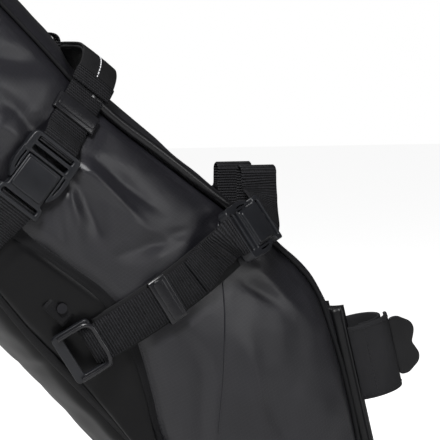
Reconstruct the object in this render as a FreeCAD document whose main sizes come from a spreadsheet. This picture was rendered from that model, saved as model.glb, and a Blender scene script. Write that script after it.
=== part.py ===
import FreeCAD, Part
import math
import os

# Bikepacking seat pack. +X points forward on the bicycle, +Z up, millimetres.
# The origin is the centre of the seatpost cuff, on the seatpost's axis.

os.makedirs("parts", exist_ok=True)
doc = FreeCAD.newDocument("SaddleBag")
V = FreeCAD.Vector

# ---------------------------------------------------------------- driving sizes
sheet = doc.addObject("Spreadsheet::Sheet", "Sizes")
SIZES = {
    "length_scale": 1.0,      # stretches the pack behind the seatpost
    "width_scale": 1.0,       # widens the pack about its middle plane
    "post_radius": 15.45,     # 30.9 mm seatpost
    "post_tilt": 13.7,        # degrees the seatpost leans back
    "rail_radius": 3.5,       # 7 mm saddle rail
    "rail_offset": 22.0,      # rail centre from the middle plane
    "rail_height": 125.0,     # rail centre above the origin
    "rail_x": -84.0,          # middle of each rail loop along the bike
    "shell_thick": 1.6,       # coated fabric with its lining
    "seam_gap": 0.3,          # parting between neighbouring panels
    "sheet_thick": 1.2,       # plastic stiffener sheet
    "piping_radius": 3.0,
    "stay_radius": 1.6,
    "web_width": 25.0,
    "web_thick": 1.6,
    "web_gap": 0.5,           # webbing clear of what lies under it
    "buckle_margin": 5.5,     # buckle frame beyond each webbing edge
    "buckle_thick": 8.0,
    "socket_length": 24.0,
    "tongue_length": 14.0,
    "arm_length": 19.0,
    "run_gap": 0.4,           # clearance of everything that slides or turns
    "cuff_length": 50.0,
    "cuff_thick": 2.2,
    "pad_length": 104.0,
    "pad_thick": 11.2,
    "roll_radius": 17.0,
    "roll_length": 186.0,
}
for row, (alias, number) in enumerate(SIZES.items(), start=1):
    sheet.set("A%d" % row, alias)
    sheet.set("B%d" % row, "%g" % number)
    sheet.setAlias("B%d" % row, alias)
doc.recompute()


def size(alias):
    return float(getattr(sheet, alias))


pieces = []


def piece(obj, label):
    obj.Label = label
    pieces.append(obj)
    return obj


def solid_piece(label, shape, placement=None):
    obj = doc.addObject("Part::Feature", label)
    obj.Shape = shape
    if placement is not None:
        obj.Placement = placement.multiply(obj.Placement)
    return piece(obj, label)


def mirrored(source, label):
    obj = doc.addObject("Part::Mirroring", label)
    obj.Source = source
    obj.Normal = V(0, 1, 0)
    return piece(obj, label)


def both_sides(name, shape):
    """A right piece and its mirror image on the left."""
    right = solid_piece(name + "_right", shape)
    mirrored(right, name + "_left")
    return right


# ---------------------------------------------------------------- pack surface
# One station per row, nose to tail: the top or front edge (x, z), the bottom edge (x, z),
# half widths at the top edge, the widest line and the bottom edge, and the height of the
# smooth lower side panel as a share of the station line.
STATIONS = [
    (2, -128, -16, -146, 22, 25, 20, 0.10),
    (-6, -100, -50, -139, 29, 35, 26, 0.08),
    (-15, -62, -88, -118, 33, 46, 31, 0.06),
    (-25, -20, -130, -86, 35, 56, 36, 0.06),
    (-37, 20, -166, -51, 36, 64, 42, 0.08),
    (-53, 55, -194, -21, 38, 69, 47, 0.17),
    (-86, 85, -219, 5, 43, 72, 50, 0.27),
    (-119, 107, -242, 29, 50, 75, 52, 0.33),
    (-160, 137, -262, 53, 57, 77, 54, 0.30),
    (-200, 167, -283, 79, 58, 77, 55, 0.25),
    (-240, 209, -304, 108, 58, 77, 56, 0.22),
    (-274, 243, -327, 143, 58, 76, 58, 0.20),
    (-305, 268, -347, 182, 64, 77, 63, 0.18),
    (-330, 283, -361, 222, 76, 82, 75, 0.16),
    (-345, 287, -364, 256, 86, 88, 85, 0.14),
]
TOP_CROWN = [2, 3, 2, 1, 1, 2, 4, 7, 10, 14, 15, 14, 10, 5, 2]
BASE_CROWN = [2, 4, 6, 7, 8, 8, 8, 8, 8, 8, 8, 8, 6, 4, 2]
LAST = len(STATIONS) - 1


def smooth(values, u):
    """A smooth curve through values at whole numbers (Catmull-Rom)."""
    i = min(int(u), LAST - 1)
    f = u - i
    a, b, c, d = (values[min(max(k, 0), LAST)] for k in (i - 1, i, i + 1, i + 2))
    return b + f * ((c - a) + f * ((2 * a - 5 * b + 4 * c - d) + f * (3 * b - 3 * c + d - a))) / 2


COLUMNS = list(zip(*STATIONS))


def station(u):
    """Sizes of the section at u, as (top, bottom, widths, share, crowns)."""
    row = [smooth(column, u) for column in COLUMNS]
    long_way = size("length_scale")
    wide = size("width_scale")
    top = V(row[0] * long_way, 0, row[1] * long_way)
    base = V(row[2] * long_way, 0, row[3] * long_way)
    crown = smooth(TOP_CROWN, u)
    belly = smooth(BASE_CROWN, u)
    return top, base, row[4] * wide, row[5] * wide, row[6] * wide, row[7], crown, belly


def side_point(u, v, inset=0.0):
    """A point on the right side: v runs from the top edge (0) to the bottom edge (1)."""
    top, base, y_top, y_mid, y_base, share, crown, belly = station(u)
    bulge = 4 * (y_mid - (y_top + y_base) / 2)
    y = y_top + (y_base - y_top) * v + bulge * v * (1 - v)
    slope = (y_base - y_top) + bulge * (1 - 2 * v)
    line = base - top
    run = line.Length
    tangent = V(line.x, -slope, line.z)
    down = V(line.x / run, 0, line.z / run)
    normal = V(0, -run, 0) - down * slope
    normal.normalize()
    here = top + line * v
    return V(here.x, -y, here.z) - normal * inset


def cap_point(u, k, upper, inset=0.0):
    """A point on the top (upper) or base panel: k runs from -1 (right) to 1 (left)."""
    top, base, y_top, y_mid, y_base, share, crown, belly = station(u)
    up = (top - base).normalize()
    if upper:
        edge, wide, rise = top, y_top, crown
    else:
        edge, wide, rise = base, y_base, -belly
        inset = -inset
    return edge + up * (rise * (1 - k * k) - inset) + V(0, wide * k, 0)


def curve(points):
    line = Part.BSplineCurve()
    line.interpolate(points)
    return line.toShape()


def strip_section(outer, inner):
    """A closed thin section between two rows of points."""
    return Part.Wire([
        curve(outer),
        Part.makeLine(outer[-1], inner[-1]),
        curve(inner[::-1]),
        Part.makeLine(inner[0], outer[0]),
    ])


def spread(low, high, count):
    return [low + (high - low) * i / (count - 1) for i in range(count)]


def panel(rows):
    return Part.makeLoft([strip_section(*row) for row in rows], True, False)


def side_panel_shape(low, high, thick, first=0, last=LAST):
    """Right side skin between the shares low(u) and high(u) of the station line."""
    rows = []
    for u in range(first, last + 1):
        shares = spread(low(u), high(u), 7)
        outer = [side_point(u, v) for v in shares]
        inner = [side_point(u, v, thick) for v in shares]
        rows.append((outer, inner))
    return panel(rows)


def cap_panel_shape(upper, margin, thick, first=0, last=LAST, lift=0.0):
    rows = []
    for u in range(first, last + 1):
        wide = station(u)[2 if upper else 4]
        limit = 1 - margin / wide
        steps = spread(-limit, limit, 7)
        rows.append((
            [cap_point(u, k, upper, -lift) for k in steps],
            [cap_point(u, k, upper, thick - lift) for k in steps],
        ))
    return panel(rows)


def tape_line(u):
    return 1 - station(u)[5]


def halfspace(x_low, x_high):
    return Part.makeBox(x_high - x_low, 800, 900, V(x_low, -400, -400))


thick = size("shell_thick")
gap = size("seam_gap")
seam_x = -125 * size("length_scale")
behind = halfspace(-600, seam_x - gap / 2)
ahead = halfspace(seam_x + gap / 2, 200)
edge_share = 0.012

whole_side = side_panel_shape(lambda u: edge_share, lambda u: tape_line(u) - 0.006, thick)
both_sides("side_panel", whole_side.common(behind))
both_sides("nose_side_panel", whole_side.common(ahead))
lower_side = side_panel_shape(lambda u: tape_line(u) + 0.006, lambda u: 1 - edge_share, thick)
both_sides("lower_side_panel", lower_side)
cap_margin = 1.2
whole_top = cap_panel_shape(True, cap_margin, thick)
solid_piece("top_panel", whole_top.common(behind))
solid_piece("nose_front_panel", whole_top.common(ahead))
solid_piece("base_panel", cap_panel_shape(False, cap_margin, thick))

# Plastic sheet that keeps the nose and the base flat, just inside the base panel.
stiffener_inset = 1.7
sheet_rows = []
for u in range(1, 9):
    steps = spread(-0.86, 0.86, 7)
    near = thick + stiffener_inset
    far = near + size("sheet_thick")
    outer_row = [cap_point(u, k, False, near) for k in steps]
    inner_row = [cap_point(u, k, False, far) for k in steps]
    sheet_rows.append((outer_row, inner_row))
solid_piece("base_stiffener", panel(sheet_rows))


# ---------------------------------------------------------------- surface tools
def line_offset(u, x, z):
    """Signed distance of (x, z) from the station line at u, and its share along that line."""
    top, base = station(u)[:2]
    line = base - top
    rel = V(x, 0, z) - top
    off = (rel.x * line.z - rel.z * line.x) / line.Length
    return off, (rel.x * line.x + rel.z * line.z) / (line.Length ** 2)


def side_place(x, z):
    """The pair (u, v) of the right side at this x and z."""
    steps = spread(0, LAST, LAST * 3 + 1)
    for low, high in zip(steps, steps[1:]):
        first, share = line_offset(low, x, z)
        if first * line_offset(high, x, z)[0] > 0 or not -0.6 < share < 1.6:
            continue
        for _ in range(30):
            middle = (low + high) / 2
            if first * line_offset(middle, x, z)[0] > 0:
                low = middle
            else:
                high = middle
        return low, line_offset(low, x, z)[1]
    raise RuntimeError("no place on the side at %g, %g" % (x, z))


def side_at(x, z, lift=0.0):
    u, v = side_place(x, z)
    v = min(max(v, 0.0), 1.0)
    return side_point(u, v, -lift)


def band(points, normals, width, depth):
    """A flat strap along points; each rectangle is width wide and depth thick, outward."""
    wires = []
    count = len(points)
    for i, here in enumerate(points):
        ahead_of = points[min(i + 1, count - 1)] - points[max(i - 1, 0)]
        along = V(ahead_of).normalize()
        out = V(normals[i])
        out = (out - along * out.dot(along)).normalize()
        across = along.cross(out).normalize() * (width / 2)
        under = [here - across, here + across]
        corners = under + [corner + out * depth for corner in under[::-1]]
        wires.append(Part.makePolygon(corners + [corners[0]]))
    return Part.makeLoft(wires, True, True)


def local_frame(origin, along, out):
    """Placement whose x runs along, whose z points out."""
    x_axis = V(along).normalize()
    z_axis = V(out)
    z_axis = (z_axis - x_axis * z_axis.dot(x_axis)).normalize()
    y_axis = z_axis.cross(x_axis)
    matrix = FreeCAD.Matrix(
        x_axis.x, y_axis.x, z_axis.x, origin.x,
        x_axis.y, y_axis.y, z_axis.y, origin.y,
        x_axis.z, y_axis.z, z_axis.z, origin.z,
        0, 0, 0, 1,
    )
    return FreeCAD.Placement(matrix)


def tube(points, radius):
    """A round tube along a smooth curve through points."""
    path = Part.Wire([curve(points)])
    start = points[0]
    circle = Part.makeCircle(radius, start, points[1] - points[0])
    return path.makePipeShell([Part.Wire([circle])], True, False)


# ---------------------------------------------------------------- edges and trim
piping_reach = spread(7.0, 8.9, 4)
out_from_edge = size("piping_radius") + gap


def top_edge(u, lift):
    edge = side_point(u, 0)
    up = (station(u)[0] - station(u)[1]).normalize()
    return edge + (up + V(0, -1, 0)).normalize() * lift


edge_line = [top_edge(u, out_from_edge) for u in piping_reach]
core_start = edge_line[0] * 1.02 - edge_line[1] * 0.02
core_end = edge_line[-1] * 1.02 - edge_line[-2] * 0.02
core = tube([core_start] + edge_line[1:-1] + [core_end], size("stay_radius") + gap)
both_sides("edge_piping", tube(edge_line, size("piping_radius")).cut(core))
stay = tube(edge_line, size("stay_radius"))
solid_piece("edge_stays", Part.makeCompound([stay, stay.mirror(V(0, 0, 0), V(0, 1, 0))]))


def skin_strip(path, width_share, lift, depth):
    """A tape on the right side along (u, v) places."""
    rows = []
    for u, v in path:
        shares = spread(v - width_share, v + width_share, 3)
        outer = [side_point(u, w, -lift - depth) for w in shares]
        inner = [side_point(u, w, -lift) for w in shares]
        rows.append((outer, inner))
    return panel(rows)


tape_path = [(u, tape_line(u)) for u in spread(4.4, LAST - 1.0, 21)]
tape_thick = 1.0
both_sides("seam_tape", skin_strip(tape_path, 0.026, gap, tape_thick))
binding_path = [(u, 0.985) for u in spread(0.6, LAST - 1.0, 25)]
binding_thick = 1.8
both_sides("base_binding", skin_strip(binding_path, 0.016, gap, binding_thick))

# ---------------------------------------------------------------- closed roll top
end_top = station(LAST)[0]
end_base = station(LAST)[1]
roll_centre = (end_top + end_base) * 0.5 + V(-1, 0, 0.55).normalize() * (size("roll_radius") + gap)
roll_length = size("roll_length")
roll = Part.makeCylinder(size("roll_radius"), roll_length, roll_centre - V(0, roll_length / 2, 0), V(0, 1, 0))


def centred_slab(deep, wide, high):
    """A flat slab about the middle of the roll."""
    return Part.makeBox(deep, wide, high, roll_centre - V(deep / 2, wide / 2, high / 2))


batten_thick = 2.0
batten_length = roll_length - 20
batten_height = 20.0
pocket = centred_slab(batten_thick + 2 * gap, batten_length + 1, batten_height + 2 * gap)
solid_piece("roll_top", roll.cut(pocket))
solid_piece("roll_stiffener", centred_slab(batten_thick, batten_length, batten_height))

# ---------------------------------------------------------------- seatpost pad and cuff
post_axis = V(-math.sin(math.radians(size("post_tilt"))), 0, math.cos(math.radians(size("post_tilt"))))
post_frame = FreeCAD.Placement(V(0, 0, 0), FreeCAD.Rotation(V(0, 1, 0), -size("post_tilt")))


def arc_wall(radius, depth, low, high, start, length):
    """Part of a tube about the post: angles in degrees from the front, anticlockwise from above."""
    wall = Part.makeCylinder(radius + depth, length, V(0, 0, start), V(0, 0, 1), high - low)
    wall = wall.cut(Part.makeCylinder(radius, length, V(0, 0, start), V(0, 0, 1), high - low))
    wall.rotate(V(0, 0, 0), V(0, 0, 1), low)
    return wall


pad_low = -size("pad_length") * 0.62
pad_start, pad_end = 128, 232
pad_radius = size("post_radius") + size("pad_thick")
pad_length = size("pad_length")
pad = arc_wall(size("post_radius") + 2 * gap, size("pad_thick") - 2 * gap, pad_start, pad_end, pad_low, pad_length)
groove_deep = size("pad_thick") * 0.45
groove_wide = 1.6
for k in range(5):
    corner = V(pad_radius - groove_deep + 1, -groove_wide / 2, pad_low - 1)
    slot = Part.makeBox(groove_deep, groove_wide, pad_length + 2, corner)
    slot.rotate(V(0, 0, 0), V(0, 0, 1), pad_start + 12 + 20 * k)
    pad = pad.cut(slot)
solid_piece("post_pad", pad, post_frame)

half = size("cuff_length") / 2
cuff = size("cuff_thick")
hug = size("post_radius")
# Inner wrap: from the pack on the left, round the front of the post, to the right side.
wrap = arc_wall(hug, cuff, -105, 127, -half, size("cuff_length"))
solid_piece("cuff_wrap", wrap, post_frame)
hook = arc_wall(hug + cuff + 0.1, 0.8, -100, -20, -half + 5, size("cuff_length") - 10)
solid_piece("cuff_hook_patch", hook, post_frame)
flap_radius = hug + cuff + 0.9 + size("run_gap") + 1.0
loop_pile = arc_wall(flap_radius - 0.8, 0.75, -100, -20, -half + 5, size("cuff_length") - 10)
solid_piece("cuff_loop_patch", loop_pile, post_frame)
flap = arc_wall(flap_radius, cuff, -126.5, -8, -half, size("cuff_length"))
solid_piece("cuff_flap", flap, post_frame)
# Scalloped pull tab on the flap's front edge.
tab_thick = 1.8
lobe_radius = 8.0
lobe_rise = 9.0
tab = Part.makeBox(11, tab_thick, 40, V(0, -tab_thick / 2, -20))
for rise in (-lobe_rise, lobe_rise):
    tab = tab.fuse(Part.makeCylinder(lobe_radius, tab_thick, V(10, -tab_thick / 2, rise), V(0, 1, 0)))
tab = tab.removeSplitter()
flap_end = -8
tab.rotate(V(0, 0, 0), V(0, 0, 1), flap_end)
tab_edge = flap_radius + cuff / 2
tab.translate(V(tab_edge * math.cos(math.radians(flap_end)), tab_edge * math.sin(math.radians(flap_end)), 0))
tab = tab.cut(Part.makeCylinder(flap_radius + cuff + 0.02, 60, V(0, 0, -30)))
solid_piece("cuff_pull_tab", tab, post_frame)


# ---------------------------------------------------------------- buckle family
def bound(obj, path, expression):
    obj.setExpression(path, expression)


def primitive(body, kind, name, dims, base):
    obj = body.newObject("PartDesign::" + kind, name)
    for prop, expression in dims.items():
        bound(obj, prop, expression)
    for axis, expression in zip("xyz", base):
        bound(obj, ".Placement.Base." + axis, expression)
    return obj


def additive(body, name, dims, base):
    return primitive(body, "AdditiveBox", name, dict(zip(("Length", "Width", "Height"), dims)), base)


def subtractive(body, name, dims, base):
    return primitive(body, "SubtractiveBox", name, dict(zip(("Length", "Width", "Height"), dims)), base)


FRAME_WIDE = "Sizes.web_width + 2 * Sizes.buckle_margin"
MIDDLE = "-(Sizes.buckle_thick) / 2"


def soften(body, feature, radius, wanted):
    """Round the edges of feature that the test wanted picks."""
    doc.recompute()
    names = ["Edge%d" % (i + 1) for i, edge in enumerate(feature.Shape.Edges) if wanted(edge)]
    if not names:
        return
    fillet = body.newObject("PartDesign::Fillet", "Fillet")
    fillet.Base = (feature, names)
    fillet.Radius = radius
    doc.recompute()
    if "Invalid" in fillet.State or fillet.Shape.isNull() or not fillet.Shape.isValid():
        body.removeObject(fillet)
        doc.removeObject(fillet.Name)
        body.Tip = feature
        doc.recompute()


def upright(edge):
    ends = [vertex.Point for vertex in edge.Vertexes]
    return len(ends) == 2 and abs((ends[1] - ends[0]).normalize().z) > 0.99


def socket(name, placement):
    """Female half: a plain centre sleeve with a webbing bar at its far end."""
    body = doc.addObject("PartDesign::Body", name)
    additive(body, "Sleeve", ("Sizes.socket_length", "Sizes.web_width", "Sizes.buckle_thick"),
             ("0", "-Sizes.web_width / 2", MIDDLE))
    outer = additive(body, "Cheeks", ("8", FRAME_WIDE + " - 4", "Sizes.buckle_thick"),
                     ("Sizes.socket_length - 1", "-(" + FRAME_WIDE + " - 4) / 2", MIDDLE))
    soften(body, outer, 1.6, lambda e: upright(e) and abs(e.CenterOfMass.y) > 14)
    subtractive(body, "Mouth", ("Sizes.arm_length", "16.8", "4.2"), ("-1", "-8.4", "-2.1"))
    subtractive(body, "WebSlot", ("3.4", "Sizes.web_width + 1", "Sizes.buckle_thick + 2"),
                ("Sizes.socket_length + 1", "-(Sizes.web_width + 1) / 2", MIDDLE + " - 1"))
    body.Placement = placement
    return piece(body, name)


def tongue(name, placement):
    """Male half: ladder frame, centre guide and two outer arms that clip round the sleeve."""
    body = doc.addObject("PartDesign::Body", name)
    additive(body, "Base", ("Sizes.tongue_length", FRAME_WIDE, "Sizes.buckle_thick"),
             ("-Sizes.tongue_length - Sizes.run_gap", "-(" + FRAME_WIDE + ") / 2", MIDDLE))
    arm = None
    for name_of, sign in (("Right", -1), ("Left", 1)):
        lead = "Sizes.web_width / 2 + Sizes.run_gap" if sign > 0 else "-(" + FRAME_WIDE + ") / 2"
        arm = additive(body, "Arm" + name_of,
                       ("Sizes.arm_length + 2", "Sizes.buckle_margin - Sizes.run_gap", "Sizes.buckle_thick - 1"),
                       ("-2 - Sizes.run_gap", lead, MIDDLE + " + 0.5"))
    soften(body, arm, 4.2, lambda e: upright(e) and abs(e.CenterOfMass.y) > 17 and abs(e.CenterOfMass.x) > 10)
    additive(body, "Guide", ("15", "16", "3.4"), ("-Sizes.run_gap - 1", "-8", "-1.7"))
    subtractive(body, "LadderFront", ("3.2", "Sizes.web_width + 1", "Sizes.buckle_thick + 2"),
                ("-Sizes.run_gap - 5.4", "-(Sizes.web_width + 1) / 2", MIDDLE + " - 1"))
    subtractive(body, "LadderRear", ("3.6", "Sizes.web_width + 1", "Sizes.buckle_thick + 2"),
                ("-Sizes.run_gap - 11.6", "-(Sizes.web_width + 1) / 2", MIDDLE + " - 1"))
    body.Placement = placement
    return piece(body, name)


def buckle_pair(name, centre, along, out):
    """The buckle's middle is half way along its closed length."""
    shift = V(along).normalize() * ((size("tongue_length") - size("socket_length") - 7) / 2)
    place = local_frame(centre + shift, along, out)
    right_socket = socket(name + "_socket_right", place)
    right_tongue = tongue(name + "_tongue_right", place)
    mirrored(right_socket, name + "_socket_left")
    mirrored(right_tongue, name + "_tongue_left")
    return place


# ---------------------------------------------------------------- front compression strap
long_way = size("length_scale")
wide_way = size("width_scale")
side_dir = V(0.846, 0, 0.533).normalize()


def side_line(start_x, start_z, direction, count, length, lift):
    """Points on the right side along a run that is straight from the side, with outward normals."""
    points = []
    for t in spread(0, length, count):
        points.append(side_at(start_x + direction.x * t, start_z + direction.z * t, lift))
    normals = []
    across = V(-direction.z, 0, direction.x)
    for i in range(count):
        along = points[min(i + 1, count - 1)] - points[max(i - 1, 0)]
        out = across.cross(along)
        if out.y > 0:
            out = -out
        normals.append(out.normalize())
    return points, normals


web = size("web_width")
web_t = size("web_thick")
web_gap = size("web_gap")
front_start = V(-196 * long_way, 0, 33 * long_way)


backing_thick = 1.0
backing_lift = gap + tape_thick + gap
backing_bridge = 1.9          # the strap spans the hollows of the side
backing_lift += backing_bridge
backing, backing_out = side_line(front_start.x - 6, front_start.z + 2, side_dir, 9, 74, backing_lift)
back_web = band(backing, backing_out, web + 4, backing_thick)
solid_piece("front_strap_backings", Part.makeCompound([back_web, back_web.mirror(V(0, 0, 0), V(0, 1, 0))]))
keeper_wall = 1.2
keeper_play = 0.5
front_lift = backing_lift + backing_thick + keeper_wall + keeper_play + 0.8
front, front_out = side_line(front_start.x, front_start.z, side_dir, 9, 84, front_lift)
both_sides("front_strap", band(front, front_out, web, web_t))

front_place = buckle_pair("front_buckle", V(-104.5 * long_way, -66.0 * wide_way, 93.5 * long_way),
                          V(0.70, 0.685, 0.20), V(0.525, -0.684, 0.504))

# ---------------------------------------------------------------- keepers
def keeper(name, centre, along, out, lap):
    """Closed rectangular loop that slides along a strap stack of thickness lap."""
    body = doc.addObject("PartDesign::Body", name + "_right")
    additive(body, "Block", ("12", "Sizes.web_width + 6", "%g" % (lap + 2 * keeper_wall + 2 * keeper_play)),
             ("-6", "-(Sizes.web_width + 6) / 2", "%g" % -(keeper_wall + keeper_play)))
    subtractive(body, "Window", ("14", "Sizes.web_width + 2 * Sizes.run_gap", "%g" % (lap + 2 * keeper_play)),
                ("-7", "-(Sizes.web_width + 2 * Sizes.run_gap) / 2", "%g" % -keeper_play))
    body.Placement = local_frame(centre, along, out)
    piece(body, name + "_right")
    mirrored(body, name + "_left")


def mirror_point(point):
    return V(point.x, -point.y, point.z)


keeper_at = 3
keeper("front_keeper", (front[keeper_at] + front[keeper_at + 1]) * 0.5,
       front[keeper_at + 1] - front[keeper_at], front_out[keeper_at], web_t)

# ---------------------------------------------------------------- lower loop buckle
loop_at = V(front_start.x, 0, front_start.z) - side_dir * 17
loop_u = side_at(loop_at.x, loop_at.z, 7.5)
loop_place = local_frame(loop_u, front[1] - front[0], front_out[0])
loop_body = doc.addObject("PartDesign::Body", "loop_buckle_right")
plate = additive(loop_body, "Plate", ("26", "34", "4"), ("-15", "-17", "-2"))
soften(loop_body, plate, 2.5, upright)
subtractive(loop_body, "Window", ("15", "26", "6"), ("-8.5", "-13", "-3"))
loop_body.Placement = loop_place
piece(loop_body, "loop_buckle_right")
mirrored(loop_body, "loop_buckle_left")

bail_radius = 1.6
bail_rise = 4.2
bail_corners = [(-11, -14.8), (6, -14.8), (11, -11), (11, 11), (6, 14.8), (-11, 14.8)]
bail_points = [V(x, y, bail_rise) for x, y in bail_corners]
bail_section = Part.Wire([Part.makeCircle(bail_radius, bail_points[0], V(1, 0, 0))])
bail = Part.makePolygon(bail_points).makePipeShell([bail_section], True, False, 1)
bail.Placement = loop_place
both_sides("loop_bail", bail)

ear_dir = V(-0.72, 0, 0.69)
ear_line, ear_out = side_line(loop_at.x - 11, loop_at.z + 19, ear_dir, 4, 18, gap + 2.6)
both_sides("loop_anchor", band(ear_line, ear_out, 15, 2.0))
rivet_spot = (ear_line[1] + ear_line[2]) * 0.5
rivet_out = ear_out[1]
rivet = Part.makeCylinder(3.2, 2.2, rivet_spot + rivet_out * 2.1, rivet_out)
rivet_left = rivet.mirror(V(0, 0, 0), V(0, 1, 0))
solid_piece("anchor_rivets", Part.makeCompound([rivet, rivet_left]))

# ---------------------------------------------------------------- rear girth strap
rear_dir = V(-0.61, 0, -0.79).normalize()
rear_aim = V(-211 * long_way, 0, 176 * long_way)


def edge_reach(direction, limit):
    """How far the line from rear_aim runs along direction before it leaves the side at share limit."""
    for step in range(0, 3000):
        spot = rear_aim + direction * (step / 10)
        v = side_place(spot.x, spot.z)[1]
        if (v - limit) * (1 if limit else -1) >= 0:
            return step / 10
    return 0.0


rear_top = rear_aim - rear_dir * edge_reach(-rear_dir, 0)
base_reach = edge_reach(rear_dir, 1) + (rear_aim - rear_top).Length


def rear_side(t, lift):
    return side_at(rear_top.x + rear_dir.x * t, rear_top.z + rear_dir.z * t, lift)


rear_lift = gap + keeper_wall + keeper_play + 0.8
strap_foot = 35.5
top_stretch = [rear_side(strap_foot, rear_lift + 1.4), rear_side(2, rear_lift + 0.6)]
rear_side_points = [top_stretch[0] + (top_stretch[1] - top_stretch[0]) * f for f in spread(0, 1, 7)]
edge_y = -rear_side_points[-1].y
crown_rise = 22
over = []
for k in spread(-0.93, 0.93, 13):
    over.append(rear_top - rear_dir * (5 + crown_rise * (1 - k ** 4)) + V(0, edge_y * k * 0.985, 0))
rear_path = rear_side_points + over + [mirror_point(q) for q in rear_side_points[::-1]]


def path_normals(path, plane_normal):
    """Outward normals of a planar loop round the pack."""
    centre = V(0, 0, 0)
    for q in path:
        centre += q * (1 / len(path))
    normals = []
    for i in range(len(path)):
        along = path[min(i + 1, len(path) - 1)] - path[max(i - 1, 0)]
        out = plane_normal.cross(along).normalize()
        if out.dot(path[i] - centre) < 0:
            out = -out
        normals.append(out)
    return normals


rear_across = V(-rear_dir.z, 0, rear_dir.x)
rear_out = path_normals(rear_path, rear_across)
solid_piece("rear_strap_top", band(rear_path, rear_out, web, web_t))
sleeve_low, sleeve_high = 6, len(rear_path) - 6
sleeve_path = [q + n * (web_t + web_gap) for q, n in zip(rear_path, rear_out)][sleeve_low:sleeve_high]
solid_piece("rear_strap_sleeve", band(sleeve_path, rear_out[sleeve_low:sleeve_high], web + 2, 1.4))

rear_middle = 60
rear_centre = rear_side(rear_middle, gap + size("buckle_thick") / 2 + 0.5)
rear_along = rear_side(rear_middle + 12, 0) - rear_side(rear_middle - 12, 0)
rear_place = buckle_pair("rear_buckle", rear_centre, rear_along, V(0, -1, 0))
below, above = rear_side_points[3], rear_side_points[4]
keeper("rear_keeper", (below + above) * 0.5, below - above, rear_out[3], web_t)

# Under the pack, from one rear buckle round the base to the other.
low_lift = gap + binding_thick + web_gap + 0.5
low_points = [rear_side(t, low_lift) for t in spread(rear_middle + 28, base_reach - 3, 4)]
low_y = -low_points[-1].y
base_fall = 8.5
under = []
for k in spread(-0.97, 0.97, 11):
    under.append(rear_top + rear_dir * (base_reach + low_lift + base_fall * (1 - k ** 2)) + V(0, low_y * k, 0))
low_path = low_points + under + [mirror_point(q) for q in low_points[::-1]]
solid_piece("rear_strap_lower", band(low_path, path_normals(low_path, rear_across), web, web_t))

# ---------------------------------------------------------------- rail loops
rail = V(size("rail_x"), -size("rail_offset"), size("rail_height"))
bar_reach = size("socket_length") + 7.8
bar = front_place.multVec(V(bar_reach, 0, -web_t / 2))
past_bar = front_place.multVec(V(bar_reach + 10, 0, -web_t / 2))
front_normal = front_place.Rotation.multVec(V(0, 0, 1))
rail_r = size("rail_radius")
arch_box = Part.makeBox(web, 20, 20, rail - V(web / 2, 10, 0))
arch = Part.makeCylinder(rail_r + web_t, web, rail - V(web / 2, 0, 0), V(1, 0, 0))
arch = arch.cut(Part.makeCylinder(rail_r, web, rail - V(web / 2, 0, 0), V(1, 0, 0))).common(arch_box)
outer_foot = rail + V(0, -rail_r, 0)
inner_foot = rail + V(0, rail_r, 0)
top_foot = None
for u in spread(5, 9, 400):
    top_foot = cap_point(u, -0.45, True, -(gap + 0.2))
    if top_foot.x <= rail.x - 6:
        break
drop_end = top_foot.z + 4.6
climb = band(
    [bar, past_bar, past_bar * 0.45 + outer_foot * 0.55 + V(0, -4, 0), outer_foot],
    [front_normal, front_normal, V(0.1, -1, 0.3), V(0, -1, 0)],
    web, web_t,
)
drop_line = [V(rail.x, inner_foot.y, z) for z in spread(inner_foot.z, drop_end, 3)]
drop = band(drop_line, [V(0, 1, 0)] * 3, web, web_t)
solid_piece("rail_strap_right", arch.fuse([climb, drop]))
mirrored(pieces[-1], "rail_strap_left")

# ---------------------------------------------------------------- roll closure
roll_dir = V(50, 6, -60).normalize()
roll_buckle_at = V(-337 * long_way, -(88 + 9) * wide_way, 250 * long_way)
roll_place = buckle_pair("roll_buckle", roll_buckle_at, roll_dir, V(0, -1, 0))
tail_bar = roll_place.multVec(V(bar_reach, 0, -web_t / 2))
tail_foot = side_at(-300 * long_way, 208 * long_way, gap + 0.4)
strap_tail = band([tail_bar, tail_bar * 0.5 + tail_foot * 0.5 + V(0, -1, 0), tail_foot],
                  [V(0, -1, 0)] * 3, web, web_t)
solid_piece("roll_anchor_straps", Part.makeCompound([strap_tail, strap_tail.mirror(V(0, 0, 0), V(0, 1, 0))]))
tab_bar = roll_place.multVec(V(-size("tongue_length") - 3 * size("run_gap"), 0, -web_t / 2))
past_tab = roll_place.multVec(V(-size("tongue_length") - 8, 0, -web_t / 2))
tab_end = V(roll_centre.x, -size("roll_length") / 2 - 1.2, roll_centre.z)
tab_line = [tab_bar, past_tab, past_tab * 0.5 + tab_end * 0.5, tab_end, tab_end + V(-6, 0, 7)]
tab_strap = band(tab_line, [V(0, -1, 0)] * 5, web, web_t)
solid_piece("roll_tabs", Part.makeCompound([tab_strap, tab_strap.mirror(V(0, 0, 0), V(0, 1, 0))]))

# ---------------------------------------------------------------- small loops on the ridge
loops = []
for u in (9.75, 10.7, 11.6):
    foot = cap_point(u, 0, True, -2 * gap)
    ahead_foot = cap_point(u - 0.3, 0, True, -gap)
    along = (ahead_foot - foot).normalize()
    up = V(-along.z, 0, along.x)
    if up.z < 0:
        up = -up
    arcs = []
    for f in spread(0, 1, 9):
        arcs.append(foot + along * (14 * f) + up * (5.5 * math.sin(math.pi * f) + 0.3))
    loops.append(band(arcs, [up] * 9, 12, 1.2))
solid_piece("ridge_loops", Part.makeCompound(loops))

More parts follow.
